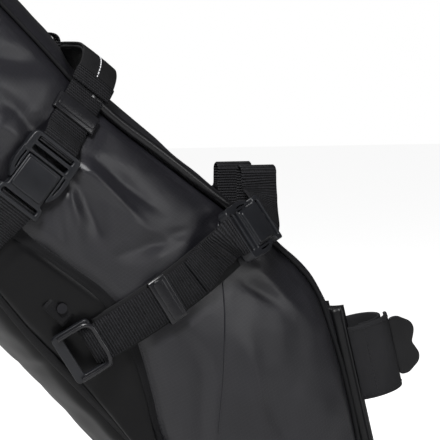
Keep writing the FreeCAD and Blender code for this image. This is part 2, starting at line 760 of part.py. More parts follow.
# ---------------------------------------------------------------- nose cap
cap_top, cap_base = station(0)[:2]
ring = [side_point(0, v) for v in spread(0, 1, 7)]
base_ring = [cap_point(0, k, False) for k in spread(-1, 1, 5)]
left_ring = [mirror_point(q) for q in ring[::-1]]
top_ring = [cap_point(0, k, True) for k in spread(1, -1, 5)]
rim = Part.Wire([curve(ring), curve(base_ring), curve(left_ring), curve(top_ring)])
cap_line = (cap_base - cap_top).normalize()
cap_out = V(-cap_line.z, 0, cap_line.x)
if cap_out.z > 0:
    cap_out = -cap_out
nose_cap = Part.Face(rim).extrude(cap_out * thick)
nose_cap.translate(cap_out * gap)
solid_piece("nose_cap", nose_cap)

doc.recompute()
for obj in doc.Objects:
    if "Invalid" in obj.State or "Error" in obj.State:
        raise RuntimeError("failed object " + obj.Label)
bad = [obj.Label for obj in pieces if obj.Shape.isNull() or not obj.Shape.isValid() or not obj.Shape.Solids]
if bad:
    raise RuntimeError("bad shapes " + ", ".join(bad))
for obj in pieces:
    obj.Shape.exportStep("parts/%s.step" % obj.Label)
    print(obj.Label, len(obj.Shape.Solids), round(obj.Shape.Volume))
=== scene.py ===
import bmesh
import bpy
import math
import numpy as np
from mathutils import Matrix, Vector, noise


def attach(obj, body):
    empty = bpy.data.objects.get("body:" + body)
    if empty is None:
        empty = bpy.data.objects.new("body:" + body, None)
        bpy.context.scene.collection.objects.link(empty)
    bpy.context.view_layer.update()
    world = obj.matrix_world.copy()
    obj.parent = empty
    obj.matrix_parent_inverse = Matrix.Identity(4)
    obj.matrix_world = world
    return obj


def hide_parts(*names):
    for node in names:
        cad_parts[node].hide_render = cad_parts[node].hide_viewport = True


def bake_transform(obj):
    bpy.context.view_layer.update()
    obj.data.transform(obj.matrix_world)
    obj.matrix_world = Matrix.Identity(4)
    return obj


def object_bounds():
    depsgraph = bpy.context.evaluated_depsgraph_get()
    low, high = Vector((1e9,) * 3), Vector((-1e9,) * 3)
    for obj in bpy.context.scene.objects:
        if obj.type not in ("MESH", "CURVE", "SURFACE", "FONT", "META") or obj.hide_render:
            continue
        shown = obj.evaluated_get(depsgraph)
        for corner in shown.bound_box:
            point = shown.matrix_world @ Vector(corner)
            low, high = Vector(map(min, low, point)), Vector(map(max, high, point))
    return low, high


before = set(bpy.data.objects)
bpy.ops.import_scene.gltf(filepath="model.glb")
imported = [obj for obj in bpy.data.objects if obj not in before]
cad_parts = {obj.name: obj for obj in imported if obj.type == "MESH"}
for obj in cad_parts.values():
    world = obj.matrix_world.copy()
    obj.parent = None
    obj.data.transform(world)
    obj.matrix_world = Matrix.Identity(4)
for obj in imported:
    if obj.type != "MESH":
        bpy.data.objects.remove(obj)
cad_box = [list(corner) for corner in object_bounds()]

# Bikepacking seat pack: a roll-top bag under a saddle. Lengths below are millimetres
# until a mesh is made, which is in metres.
MM = 0.001

# ---------------------------------------------------------------- pack surface
# Nose to tail: top edge (x, z), bottom edge (x, z), half widths at the top edge, the widest
# line and the bottom edge, and the height share of the smooth lower panel.
STATIONS = [
    (2, -128, -16, -146, 22, 25, 20, 0.10),
    (-6, -100, -50, -139, 29, 35, 26, 0.08),
    (-15, -62, -88, -118, 33, 46, 31, 0.06),
    (-25, -20, -130, -86, 35, 56, 36, 0.06),
    (-37, 20, -166, -51, 36, 64, 42, 0.08),
    (-53, 55, -194, -21, 38, 69, 47, 0.17),
    (-86, 85, -219, 5, 43, 72, 50, 0.27),
    (-119, 107, -242, 29, 50, 75, 52, 0.33),
    (-160, 137, -262, 53, 57, 77, 54, 0.30),
    (-200, 167, -283, 79, 58, 77, 55, 0.25),
    (-240, 209, -304, 108, 58, 77, 56, 0.22),
    (-274, 243, -327, 143, 58, 76, 58, 0.20),
    (-305, 268, -347, 182, 64, 77, 63, 0.18),
    (-330, 283, -361, 222, 76, 82, 75, 0.16),
    (-345, 287, -364, 256, 86, 88, 85, 0.14),
]
TOP_CROWN = [2, 3, 2, 1, 1, 2, 4, 7, 10, 14, 15, 14, 10, 5, 2]
BASE_CROWN = [2, 4, 6, 7, 8, 8, 8, 8, 8, 8, 8, 8, 6, 4, 2]
COLUMNS = list(zip(*STATIONS))
LAST = len(STATIONS) - 1
SEAM_X = -125.0


def smooth(values, u):
    """A smooth curve through values at whole numbers (Catmull-Rom)."""
    i = min(int(u), LAST - 1)
    f = u - i
    a, b, c, d = (values[min(max(k, 0), LAST)] for k in (i - 1, i, i + 1, i + 2))
    return b + f * ((c - a) + f * ((2 * a - 5 * b + 4 * c - d) + f * (3 * b - 3 * c + d - a))) / 2


def station(u):
    row = [smooth(column, u) for column in COLUMNS]
    return Vector((row[0], 0, row[1])), Vector((row[2], 0, row[3])), row[4:8]


def tape_share(u):
    return 1 - station(u)[2][3]


def side_point(u, v, lift=0.0):
    """The right side at height share v, lifted outward."""
    top, base, (y_top, y_mid, y_base, _) = station(u)
    bulge = 4 * (y_mid - (y_top + y_base) / 2)
    y = y_top + (y_base - y_top) * v + bulge * v * (1 - v)
    slope = (y_base - y_top) + bulge * (1 - 2 * v)
    line = base - top
    run = line.length
    normal = Vector((-line.x / run * slope, -run, -line.z / run * slope)).normalized()
    here = top + line * v
    return Vector((here.x, -y, here.z)) + normal * lift


def cap_point(u, k, upper, lift=0.0):
    """The top or base panel at k from -1 (right) to 1 (left), lifted outward."""
    top, base, (y_top, _, y_base, _) = station(u)
    up = (top - base).normalized()
    if upper:
        return top + up * (smooth(TOP_CROWN, u) * (1 - k * k) + lift) + Vector((0, y_top * k, 0))
    return base - up * (smooth(BASE_CROWN, u) * (1 - k * k) + lift) + Vector((0, y_base * k, 0))


def spread(low, high, count):
    return [low + (high - low) * i / (count - 1) for i in range(count)]


def line_offset(u, x, z):
    top, base, _ = station(u)
    line = base - top
    rel = Vector((x, 0, z)) - top
    off = (rel.x * line.z - rel.z * line.x) / line.length
    return off, (rel.x * line.x + rel.z * line.z) / line.length_squared


def side_place(x, z):
    """The pair (u, v) of the right side at this x and z."""
    steps = spread(0, LAST, LAST * 3 + 1)
    for low, high in zip(steps, steps[1:]):
        first, share = line_offset(low, x, z)
        if first * line_offset(high, x, z)[0] > 0 or not -0.6 < share < 1.6:
            continue
        for _ in range(30):
            middle = (low + high) / 2
            if first * line_offset(middle, x, z)[0] > 0:
                low = middle
            else:
                high = middle
        return low, line_offset(low, x, z)[1]
    raise RuntimeError("no place on the side at %g, %g" % (x, z))


def side_at(x, z, lift=0.0):
    u, v = side_place(x, z)
    return side_point(u, min(max(v, 0.0), 1.0), lift)


def mirror_point(point):
    return Vector((point.x, -point.y, point.z))


# ---------------------------------------------------------------- materials
def new_material(name):
    mat = bpy.data.materials.new(name)
    mat.use_nodes = True
    tree = mat.node_tree
    shader = tree.nodes["Principled BSDF"]
    return mat, tree, shader


def node(tree, kind, inputs=(), **settings):
    made = tree.nodes.new(kind)
    for key, value in settings.items():
        setattr(made, key, value)
    for key, value in dict(inputs).items():
        if isinstance(value, bpy.types.NodeSocket):
            tree.links.new(value, made.inputs[key])
        else:
            made.inputs[key].default_value = value
    return made


def maths(tree, operation, first, second=0.0, third=0.0):
    return node(tree, "ShaderNodeMath", {0: first, 1: second, 2: third}, operation=operation).outputs[0]


def colour_mix(tree, share, dark, light):
    mixed = node(tree, "ShaderNodeMix", {0: share, 6: (*dark, 1), 7: (*light, 1)}, data_type="RGBA")
    return mixed.outputs[2]


def stripes(tree, along, pitch):
    """A wave from -1 to 1 along a length, one crest every pitch metres."""
    return maths(tree, "SINE", maths(tree, "MULTIPLY", along, 2 * math.pi / pitch))


def grid_lines(tree, along, pitch, width):
    """1 on thin lines every pitch metres, else 0."""
    part = maths(tree, "FRACT", maths(tree, "DIVIDE", along, pitch))
    return maths(tree, "LESS_THAN", part, width / pitch)


def object_place(tree):
    return node(tree, "ShaderNodeTexCoord").outputs["Object"]


def map_place(tree):
    """The two lengths of the piece's UV map, in metres."""
    split = node(tree, "ShaderNodeSeparateXYZ", {0: node(tree, "ShaderNodeTexCoord").outputs["UV"]})
    return split.outputs[0], split.outputs[1]


def noise_value(tree, vector, scale, detail=3.0):
    values = {"Vector": vector, "Scale": scale, "Detail": detail, "Roughness": 0.55}
    return node(tree, "ShaderNodeTexNoise", values).outputs[0]


def cloudy(tree, cloud, rough, change):
    """A roughness that varies with cloud, by change in all."""
    return maths(tree, "MULTIPLY_ADD", cloud, change, rough - change / 2)


def finish_surface(tree, shader, colour, rough, height, strength, depth, gloss=0.3):
    tree.links.new(colour, shader.inputs["Base Color"])
    if isinstance(rough, bpy.types.NodeSocket):
        tree.links.new(rough, shader.inputs["Roughness"])
    else:
        shader.inputs["Roughness"].default_value = rough
    shader.inputs["Specular IOR Level"].default_value = gloss
    bump = node(tree, "ShaderNodeBump", {"Height": height, "Strength": strength, "Distance": depth})
    tree.links.new(bump.outputs[0], shader.inputs["Normal"])


def coat_surface(shader, weight, rough):
    shader.inputs["Coat Weight"].default_value = weight
    shader.inputs["Coat Roughness"].default_value = rough


WEAVE_PITCH = 0.0007


def cloth_material(name, dark, light, rough, cell, thread, gloss=0.12, depth=0.00025):
    """Woven cloth with raised grid threads every cell metres, following the piece's UV map."""
    mat, tree, shader = new_material(name)
    along, across = map_place(tree)
    place = object_place(tree)
    lines = maths(tree, "MAXIMUM", grid_lines(tree, along, cell, thread), grid_lines(tree, across, cell, thread))
    weave = maths(tree, "MULTIPLY", stripes(tree, along, WEAVE_PITCH), stripes(tree, across, WEAVE_PITCH))
    cloud = noise_value(tree, place, 34.0)
    grain = noise_value(tree, place, 420.0, 2.0)
    share = maths(tree, "MULTIPLY_ADD", lines, 0.28, maths(tree, "MULTIPLY", cloud, 0.75))
    colour = colour_mix(tree, share, dark, light)
    height = maths(tree, "ADD", maths(tree, "MULTIPLY", lines, 0.55), maths(tree, "MULTIPLY", weave, 0.22))
    height = maths(tree, "ADD", height, maths(tree, "MULTIPLY", grain, 0.3))
    finish_surface(tree, shader, colour, cloudy(tree, cloud, rough, 0.16), height, 0.6, depth, gloss)
    return mat


def coated_material(name, dark, light, rough):
    """Smooth coated cloth with a faint grain."""
    mat, tree, shader = new_material(name)
    place = object_place(tree)
    cloud = noise_value(tree, place, 18.0)
    grain = noise_value(tree, place, 900.0, 2.0)
    colour = colour_mix(tree, cloud, dark, light)
    height = maths(tree, "ADD", maths(tree, "MULTIPLY", grain, 0.5), maths(tree, "MULTIPLY", cloud, 0.6))
    finish_surface(tree, shader, colour, cloudy(tree, cloud, rough, 0.14), height, 0.35, 0.0002, 0.13)
    return mat


def webbing_material(name, dark, light, pitch):
    """Ribbed webbing: UV x runs across the strap, UV y along it, in metres."""
    mat, tree, shader = new_material(name)
    across, along = map_place(tree)
    rib = stripes(tree, along, pitch)
    yarn = stripes(tree, maths(tree, "ADD", across, maths(tree, "MULTIPLY", along, 0.6)), 0.0016)
    fuzz = noise_value(tree, object_place(tree), 700.0, 2.0)
    share = maths(tree, "MULTIPLY_ADD", rib, 0.3, maths(tree, "MULTIPLY", fuzz, 0.85))
    colour = colour_mix(tree, share, dark, light)
    height = maths(tree, "ADD", maths(tree, "MULTIPLY", rib, 0.6), maths(tree, "MULTIPLY", yarn, 0.2))
    height = maths(tree, "ADD", height, maths(tree, "MULTIPLY", fuzz, 0.3))
    finish_surface(tree, shader, colour, 0.6, height, 1.0, 0.0006, 0.14)
    return mat


def plastic_material(name, dark, light, rough, coat=0.0):
    """Moulded plastic with a fine spark-eroded grain."""
    mat, tree, shader = new_material(name)
    place = object_place(tree)
    cloud = noise_value(tree, place, 60.0)
    grain = noise_value(tree, place, 2200.0, 1.0)
    colour = colour_mix(tree, cloud, dark, light)
    finish_surface(tree, shader, colour, cloudy(tree, cloud, rough, 0.14), grain, 0.25, 0.00012)
    coat_surface(shader, coat, 0.25)
    return mat


def metal_material(name, light, rough):
    mat, tree, shader = new_material(name)
    cloud = noise_value(tree, object_place(tree), 300.0)
    colour = colour_mix(tree, cloud, [c * 0.7 for c in light], light)
    finish_surface(tree, shader, colour, rough, cloud, 0.15, 0.0001)
    shader.inputs["Metallic"].default_value = 1.0
    return mat


RIPSTOP = cloth_material("charcoal_ripstop", (0.006, 0.006, 0.0078), (0.016, 0.0156, 0.0195), 0.34,
                         0.0024, 0.0003, 0.45, 0.00015)
COATED = coated_material("coated_base_cloth", (0.0025, 0.0025, 0.0028), (0.007, 0.007, 0.0075), 0.34)
TRIM = cloth_material("woven_edge_tape", (0.0025, 0.0025, 0.003), (0.011, 0.011, 0.012), 0.6, 0.0016, 0.0005)
WEBBING = webbing_material("ribbed_webbing", (0.002, 0.002, 0.0023), (0.024, 0.024, 0.027), 0.0017)
TWILL = cloth_material("twill_backing", (0.003, 0.003, 0.0035), (0.017, 0.017, 0.018), 0.7, 0.0012, 0.0004)
PLASTIC = plastic_material("buckle_acetal", (0.006, 0.0064, 0.0078), (0.016, 0.0168, 0.020), 0.36)
GLOSS = plastic_material("smooth_nylon", (0.006, 0.006, 0.007), (0.014, 0.014, 0.016), 0.24, 0.12)
PIPING = plastic_material("piping_sheath", (0.003, 0.003, 0.0035), (0.009, 0.009, 0.010), 0.34, 0.06)
CUFF = cloth_material("cuff_laminate", (0.008, 0.008, 0.009), (0.026, 0.026, 0.028), 0.72, 0.0011, 0.0003, 0.14)
RUBBER = plastic_material("grip_rubber", (0.003, 0.003, 0.0035), (0.008, 0.008, 0.009), 0.42)
THREAD = coated_material("sewing_thread", (0.012, 0.012, 0.013), (0.035, 0.035, 0.038), 0.6)
# Near-white colour for the flecks on the rear strap's sleeve: a painted highlight.
PAINTED_HIGHLIGHT = coated_material("painted_highlight_material", (0.5, 0.5, 0.52), (0.75, 0.75, 0.77), 0.4)
STEEL = metal_material("dark_plated_metal", (0.045, 0.045, 0.05), 0.34)
ALUMINIUM = metal_material("drawn_aluminium", (0.6, 0.6, 0.62), 0.35)


# ---------------------------------------------------------------- making pieces
def linked(name, data):
    obj = bpy.data.objects.new(name, data)
    bpy.context.scene.collection.objects.link(obj)
    return obj


def plain_mesh(obj):
    """The shape that obj shows, with its modifiers, as a new mesh."""
    bpy.context.view_layer.update()
    graph = bpy.context.evaluated_depsgraph_get()
    return bpy.data.meshes.new_from_object(obj.evaluated_get(graph), depsgraph=graph)


def grid_faces(rows, columns, closed=False):
    """Faces between rows of points; a closed grid's last column joins its first."""
    faces = []
    for i in range(rows - 1):
        for j in range(columns if closed else columns - 1):
            a, b = i * columns + j, i * columns + (j + 1) % columns
            faces.append((a, b, b + columns, a + columns))
    return faces


def end_faces(rows, columns):
    """The two faces that close the ends of a closed grid."""
    return [tuple(range(columns))[::-1], tuple(range((rows - 1) * columns, rows * columns))]


def mesh_piece(name, points, faces, material, uvs=None):
    """A mesh from points in millimetres. uvs is one pair, in metres, per point."""
    mesh = bpy.data.meshes.new(name)
    mesh.from_pydata([tuple(c * MM for c in p) for p in points], [], faces)
    mesh.materials.append(material)
    if uvs is not None:
        layer = mesh.uv_layers.new(name="UVMap")
        for loop in mesh.loops:
            layer.data[loop.index].uv = uvs[loop.vertex_index]
    mesh.update()
    mesh.shade_smooth()
    return settle(linked(name, mesh), None)


def settle(obj, body, nodes=()):
    if body:
        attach(obj, body)
    if nodes:
        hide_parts(*nodes)
    return obj


def modifier(obj, kind, **settings):
    made = obj.modifiers.new(kind.title(), kind)
    for key, value in settings.items():
        setattr(made, key, value)


def applied(obj):
    """Turns the modified shape into the piece's own mesh."""
    mesh = plain_mesh(obj)
    old = obj.data
    obj.modifiers.clear()
    obj.data = mesh
    bpy.data.meshes.remove(old)
    mesh.name = obj.name
    mesh.shade_smooth()


def turned_out(mesh):
    made = bmesh.new()
    made.from_mesh(mesh)
    bmesh.ops.remove_doubles(made, verts=made.verts, dist=1e-7)
    bmesh.ops.recalc_face_normals(made, faces=made.faces)
    made.to_mesh(mesh)
    made.free()


def ribbon(name, path, normals, width, depth, material, body, nodes=(), crown=0.0):
    """A strap with rounded edges along path; its underside lies on path."""
    path = [Vector(p) for p in path]
    count = len(path)
    half = width / 2
    soft = min(depth * 0.45, 0.8)
    outline = [(-half, soft), (-half + soft, 0), (-half * 0.4, 0), (half * 0.4, 0), (half - soft, 0), (half, soft),
               (half, depth - soft), (half - soft, depth), (half * 0.4, depth + crown),
               (-half * 0.4, depth + crown), (-half + soft, depth), (-half, depth - soft)]
    around = len(outline)
    points, uvs, length = [], [], 0.0
    for i, here in enumerate(path):
        along = (path[min(i + 1, count - 1)] - path[max(i - 1, 0)]).normalized()
        out = Vector(normals[i])
        out = (out - along * out.dot(along)).normalized()
        across = along.cross(out)
        if i:
            length += (here - path[i - 1]).length
        for a, b in outline:
            points.append(here + across * a + out * b)
            uvs.append((a * MM, length * MM))
    faces = grid_faces(count, around, True) + end_faces(count, around)
    piece = mesh_piece(name, points, faces, material, uvs)
    turned_out(piece.data)
    return settle(piece, body, nodes)


def resample(points, normals, step):
    """Even points along a smooth line, with normals blended to match."""
    points = [Vector(p) for p in points]
    normals = [Vector(n).normalized() for n in normals]
    fine, fine_out = [], []
    count = len(points)
    for i in range(count - 1):
        a, b, c, d = (points[min(max(k, 0), count - 1)] for k in (i - 1, i, i + 1, i + 2))
        pieces = max(2, int((c - b).length / step))
        for k in range(pieces):
            f = k / pieces
            fine.append(b + ((c - a) + ((2 * a - 5 * b + 4 * c - d) + (3 * b - 3 * c + d - a) * f) * f) * (f / 2))
            fine_out.append(normals[i].lerp(normals[i + 1], f).normalized())
    return fine + [points[-1]], fine_out + [normals[-1]]


def tube(name, path, radius, material, body, nodes, sides):
    path = [Vector(p) for p in path]
    count = len(path)
    side = None
    points = []
    for i, here in enumerate(path):
        along = (path[min(i + 1, count - 1)] - path[max(i - 1, 0)]).normalized()
        if side is None:
            side = along.orthogonal().normalized()
        side = (side - along * side.dot(along)).normalized()
        other = along.cross(side)
        for k in range(sides):
            a = 2 * math.pi * k / sides
            points.append(here + side * (radius * math.cos(a)) + other * (radius * math.sin(a)))
    piece = mesh_piece(name, points, grid_faces(count, sides, True) + end_faces(count, sides), material)
    turned_out(piece.data)
    settle(piece, body, nodes)


def placed_at(origin, along, out):
    """Matrix in millimetres whose x runs along and whose z points out."""
    x_axis = Vector(along).normalized()
    z_axis = Vector(out)
    z_axis = (z_axis - x_axis * z_axis.dot(x_axis)).normalized()
    y_axis = z_axis.cross(x_axis)
    made = Matrix((x_axis, y_axis, z_axis)).transposed().to_4x4()
    made.translation = origin
    return made


MIRROR = Matrix.Diagonal((1, -1, 1, 1))


def rounded(corners, radius, steps=5):
    """The closed outline with each corner rounded."""
    made = []
    count = len(corners)
    for i in range(count):
        here = Vector(corners[i])
        to_last = Vector(corners[i - 1]) - here
        to_next = Vector(corners[(i + 1) % count]) - here
        reach = min(radius, to_last.length / 2, to_next.length / 2)
        a = here + to_last.normalized() * reach
        b = here + to_next.normalized() * reach
        for k in range(steps):
            f = k / (steps - 1)
            made.append((a * (1 - f) + here * f) * (1 - f) + (here * (1 - f) + b * f) * f)
    return made


def plate(name, outlines, low, high, bevel, place, material, body, nodes=(), mirror=False):
    """A moulded plate with bevelled edges; the first outline is its rim, the others its holes."""
    data = bpy.data.curves.new(name, "CURVE")
    data.dimensions = "2D"
    data.fill_mode = "BOTH"
    for outline in outlines:
        spline = data.splines.new("POLY")
        spline.points.add(len(outline) - 1)
        for point, co in zip(spline.points, outline):
            point.co = (co[0], co[1], 0, 1)
        spline.use_cyclic_u = True
    data.extrude = (high - low) / 2 - bevel
    data.bevel_depth = bevel
    data.bevel_resolution = 3
    data.offset = -bevel
    holder = linked(name, data)
    mesh = plain_mesh(holder)
    bpy.data.objects.remove(holder)
    scale = Matrix.Scale(MM, 4)
    mesh.transform(scale @ (MIRROR if mirror else Matrix()) @ place @ Matrix.Translation((0, 0, (low + high) / 2)))
    turned_out(mesh)
    mesh.materials.clear()
    mesh.materials.append(material)
    mesh.shade_smooth()
    mesh.set_sharp_from_angle(angle=math.radians(40))
    return settle(linked(name, mesh), body, nodes)


def joined(first, *others):
    """Adds the meshes of others to first."""
    made = bmesh.new()
    for obj in (first, *others):
        made.from_mesh(obj.data)
    made.to_mesh(first.data)
    made.free()
    for obj in others:
        bpy.data.objects.remove(obj)


# ---------------------------------------------------------------- stitching
def stitch_tree():
    """Geometry Nodes: a row of short thread capsules along each line of the mesh."""
    tree = bpy.data.node_groups.new("stitch_row", "GeometryNodeTree")
    face = tree.interface
    face.new_socket("Line", in_out="INPUT", socket_type="NodeSocketGeometry")
    for label in ("Pitch", "Stitch Length", "Thread Radius"):
        face.new_socket(label, in_out="INPUT", socket_type="NodeSocketFloat")
    face.new_socket("Thread", in_out="INPUT", socket_type="NodeSocketMaterial")
    face.new_socket("Stitches", in_out="OUTPUT", socket_type="NodeSocketGeometry")
    start = tree.nodes.new("NodeGroupInput")
    end = tree.nodes.new("NodeGroupOutput")

    def add(kind, **links):
        made = tree.nodes.new(kind)
        for key, value in links.items():
            socket = made.inputs[key.replace("_", " ")]
            if isinstance(value, bpy.types.NodeSocket):
                tree.links.new(value, socket)
            else:
                socket.default_value = value
        return made

    line = add("GeometryNodeMeshToCurve", Mesh=start.outputs["Line"])
    even = tree.nodes.new("GeometryNodeResampleCurve")
    even.mode = "LENGTH"
    tree.links.new(line.outputs[0], even.inputs["Curve"])
    tree.links.new(start.outputs["Pitch"], even.inputs["Length"])
    thread = add("GeometryNodeMeshCylinder", Vertices=6, Radius=start.outputs["Thread Radius"],
                 Depth=start.outputs["Stitch Length"])
    tangent = add("GeometryNodeInputTangent")
    turn = tree.nodes.new("FunctionNodeAlignRotationToVector")
    turn.axis = "Z"
    tree.links.new(tangent.outputs[0], turn.inputs["Vector"])
    placed = add("GeometryNodeInstanceOnPoints", Points=even.outputs[0], Instance=thread.outputs[0],
                 Rotation=turn.outputs[0])
    real = add("GeometryNodeRealizeInstances", Geometry=placed.outputs[0])
    painted = add("GeometryNodeSetMaterial", Geometry=real.outputs[0], Material=start.outputs["Thread"])
    tree.links.new(painted.outputs[0], end.inputs[0])
    return tree


STITCH_ROW = stitch_tree()


def stitches(name, lines, pitch, length, radius, thread, body):
    """Rows of stitches along lines of points in millimetres."""
    mesh = bpy.data.meshes.new(name)
    points, edges = [], []
    for line in lines:
        first = len(points)
        points += [tuple(Vector(p) * MM) for p in line]
        edges += [(first + i, first + i + 1) for i in range(len(line) - 1)]
    mesh.from_pydata(points, edges, [])
    obj = linked(name, mesh)
    made = obj.modifiers.new("Stitches", "NODES")
    made.node_group = STITCH_ROW
    values = {"Pitch": pitch * MM, "Stitch Length": length * MM, "Thread Radius": radius * MM, "Thread": thread}
    for item in STITCH_ROW.interface.items_tree:
        if item.item_type == "SOCKET" and item.in_out == "INPUT" and item.name in values:
            made[item.identifier] = values[item.name]
    applied(obj)
    if not obj.data.materials:
        obj.data.materials.append(thread)
    settle(obj, body)


# ---------------------------------------------------------------- strap lines
GAP = 0.3
WEB = 25.0
WEB_THICK = 1.6
WEB_GAP = 0.5
BUCKLE_THICK = 8.0
TONGUE_LENGTH = 14
SOCKET_LENGTH = 31
RUN_GAP = 0.4
KEEPER_WALL = 1.2
KEEPER_PLAY = 0.5
FRONT_START = Vector((-196, 0, 33))
FRONT_DIR = Vector((0.846, 0, 0.533)).normalized()
BACKING_LIFT = GAP + 1.0 + GAP + 1.9
FRONT_LIFT = BACKING_LIFT + 1.0 + KEEPER_WALL + KEEPER_PLAY + 0.8
REAR_DIR = Vector((-0.61, 0, -0.79)).normalized()
REAR_AIM = Vector((-211, 0, 176))


def side_line(start, direction, count, length, lift):
    """Points over the right side along a straight run, with outward normals."""
    points = [side_at(start.x + direction.x * t, start.z + direction.z * t, lift) for t in spread(0, length, count)]
    across = Vector((-direction.z, 0, direction.x))
    normals = []
    for i in range(count):
        out = across.cross(points[min(i + 1, count - 1)] - points[max(i - 1, 0)])
        normals.append((-out if out.y > 0 else out).normalized())
    return points, normals


def edge_reach(direction, limit):
    """How far the run from REAR_AIM goes along direction before it reaches height share limit."""
    for step in range(3000):
        spot = REAR_AIM + direction * (step / 10)
        if (side_place(spot.x, spot.z)[1] - limit) * (1 if limit else -1) >= 0:
            return step / 10
    raise RuntimeError("the strap's run doesn't leave the side")


REAR_TOP = REAR_AIM - REAR_DIR * edge_reach(-REAR_DIR, 0)
BASE_REACH = edge_reach(REAR_DIR, 1) + (REAR_AIM - REAR_TOP).length
REAR_LIFT = GAP + KEEPER_WALL + KEEPER_PLAY + 0.8


def rear_side(t, lift):
    return side_at(REAR_TOP.x + REAR_DIR.x * t, REAR_TOP.z + REAR_DIR.z * t, lift)


def pair_place(centre, along, out):
    """A buckle's frame, given the middle of the closed buckle."""
    return placed_at(centre + Vector(along).normalized() * ((TONGUE_LENGTH - SOCKET_LENGTH) / 2), along, out)


FRONT_PLACE = pair_place(Vector((-104.5, -66, 93.5)), Vector((0.70, 0.685, 0.20)), Vector((0.525, -0.684, 0.504)))
REAR_MIDDLE = 60
REAR_PLACE = pair_place(rear_side(REAR_MIDDLE, GAP + BUCKLE_THICK / 2 + 0.5),
                        rear_side(REAR_MIDDLE + 12, 0) - rear_side(REAR_MIDDLE - 12, 0), Vector((0, -1, 0)))
ROLL_PLACE = pair_place(Vector((-337, -97, 250)), Vector((50, 6, -60)), Vector((0, -1, 0)))
FRONT_LINE, FRONT_OUT = side_line(FRONT_START, FRONT_DIR, 9, 84, FRONT_LIFT)
LOOP_AT = FRONT_START - FRONT_DIR * 17
LOOP_PLACE = placed_at(side_at(LOOP_AT.x, LOOP_AT.z, 7.5), FRONT_LINE[1] - FRONT_LINE[0], FRONT_OUT[0])
END_TOP, END_BASE, _ = station(LAST)
ROLL_RADIUS = 17.0
ROLL_LENGTH = 186.0
ROLL_CENTRE = (END_TOP + END_BASE) * 0.5 + Vector((-1, 0, 0.55)).normalized() * (ROLL_RADIUS + GAP)
POST_TILT = math.radians(13.7)
POST_RADIUS = 15.45
POST_TURN = Matrix.Rotation(-POST_TILT, 4, "Y")

# ---------------------------------------------------------------- bag shell
ROWS_PER_STATION = 14
UPPER_COLUMNS = 42
LOWER_COLUMNS = 10
CAP_COLUMNS = 22
CLOTH_THICK = 1.4
ROLL_THICK = 1.2
REGIONS = ("upper_right", "lower_right", "base", "lower_left", "upper_left", "top")


def strap_hold(point):
    """How far a strap holds the cloth down here (0 to 1), and the height it holds it at."""
    flat = Vector((point.x, 0, point.z))
    rel = flat - REAR_TOP
    off = abs(rel.cross(REAR_DIR).y)
    rear = 1 - min(max((off - 11) / 13, 0), 1)
    level = 0.8 if rel.dot(REAR_DIR) < 30 else 0.2
    rel = flat - FRONT_START
    along = rel.dot(FRONT_DIR)
    off = abs(rel.cross(FRONT_DIR).y) + max(-24 - along, along - 100, 0)
    front = 1 - min(max((off - 12) / 12, 0), 1)
    if front > rear:
        return front, 2.2
    return rear, level


# Creases pressed into the cloth: start (x, z), end (x, z), half width and depth. Minus is a ridge.
CREASES = [
    ((-228, 142), (-182, 100), 7.0, -5.4),
    ((-224, 134), (-206, 92), 8.0, 4.2),
    ((-212, 140), (-166, 104), 7.0, 3.0),
    ((-228, 126), (-219, 88), 5.0, -2.6),
    ((-233, 120), (-226, 82), 5.0, 2.4),
    ((-270, 178), (-241, 152), 7.0, 3.4),
    ((-276, 162), (-246, 146), 6.0, -3.0),
    ((-236, 192), (-292, 206), 10.0, 3.2),
    ((-244, 168), (-304, 150), 8.0, -3.0),
    ((-300, 244), (-334, 210), 9.0, 3.0),
    ((-196, 80), (-140, 94), 9.0, 3.4),
    ((-176, 148), (-128, 100), 10.0, 3.0),
    ((-192, 100), (-150, 84), 6.0, -2.0),
    ((-139, 12), (-133, -50), 6.0, 3.2),
    ((-131, 10), (-126, -50), 5.0, -1.8),
    ((-116, 62), (-80, 42), 7.0, 2.4),
    ((-106, 70), (-58, 24), 6.0, -1.8),
    ((-98, -8), (-58, -66), 10.0, 2.4),
    ((-152, 30), (-134, 2), 6.0, 2.0),
    ((-108, 20), (-92, -44), 8.0, -2.0),
]


def crease_depth(x, z, shift):
    total = 0.0
    for (ax, az), (bx, bz), wide, deep in CREASES:
        ax, bx = ax + shift, bx + shift
        run = Vector((bx - ax, bz - az))
        rel = Vector((x - ax, z - az))
        f = min(max(rel.dot(run) / run.length_squared, 0), 1)
        off = (rel - run * f).length
        fade = math.sin(math.pi * (0.12 + 0.76 * f)) ** 1.3
        bend = wide * (0.75 + 0.35 * noise.noise(Vector((x, z, wide)) / 12))
        total += deep * fade / (1 + (off / bend) ** 2) ** 1.6
    return total


def shell_rows():
    """Points of the whole shell, row by row round the pack."""
    rows = []
    for u in spread(0, LAST, LAST * ROWS_PER_STATION + 1):
        tape = tape_share(u)
        upper = spread(0, tape, UPPER_COLUMNS)
        lower = spread(tape, 1, LOWER_COLUMNS)
        row = [side_point(u, v) for v in upper[:-1] + lower[:-1]]
        row += [cap_point(u, k, False) for k in spread(-1, 1, CAP_COLUMNS)[:-1]]
        row += [mirror_point(side_point(u, v)) for v in (upper[:-1] + lower)[:0:-1]]
        row += [cap_point(u, k, True) for k in spread(1, -1, CAP_COLUMNS)[:-1]]
        rows.append(row)
    return rows


SPANS = [UPPER_COLUMNS - 1, LOWER_COLUMNS - 1, CAP_COLUMNS - 1, LOWER_COLUMNS - 1, UPPER_COLUMNS - 1, CAP_COLUMNS - 1]
STARTS = [sum(SPANS[:i]) for i in range(len(SPANS))]
AROUND = sum(SPANS)
shell = shell_rows()
ROW_COUNT = len(shell)


def seam_share(column):
    """0 on a seam between panels, 1 in the middle of a panel."""
    for start, span in zip(STARTS, SPANS):
        if start <= column < start + span:
            f = (column - start) / span
            return 4 * f * (1 - f)
    return 0.0


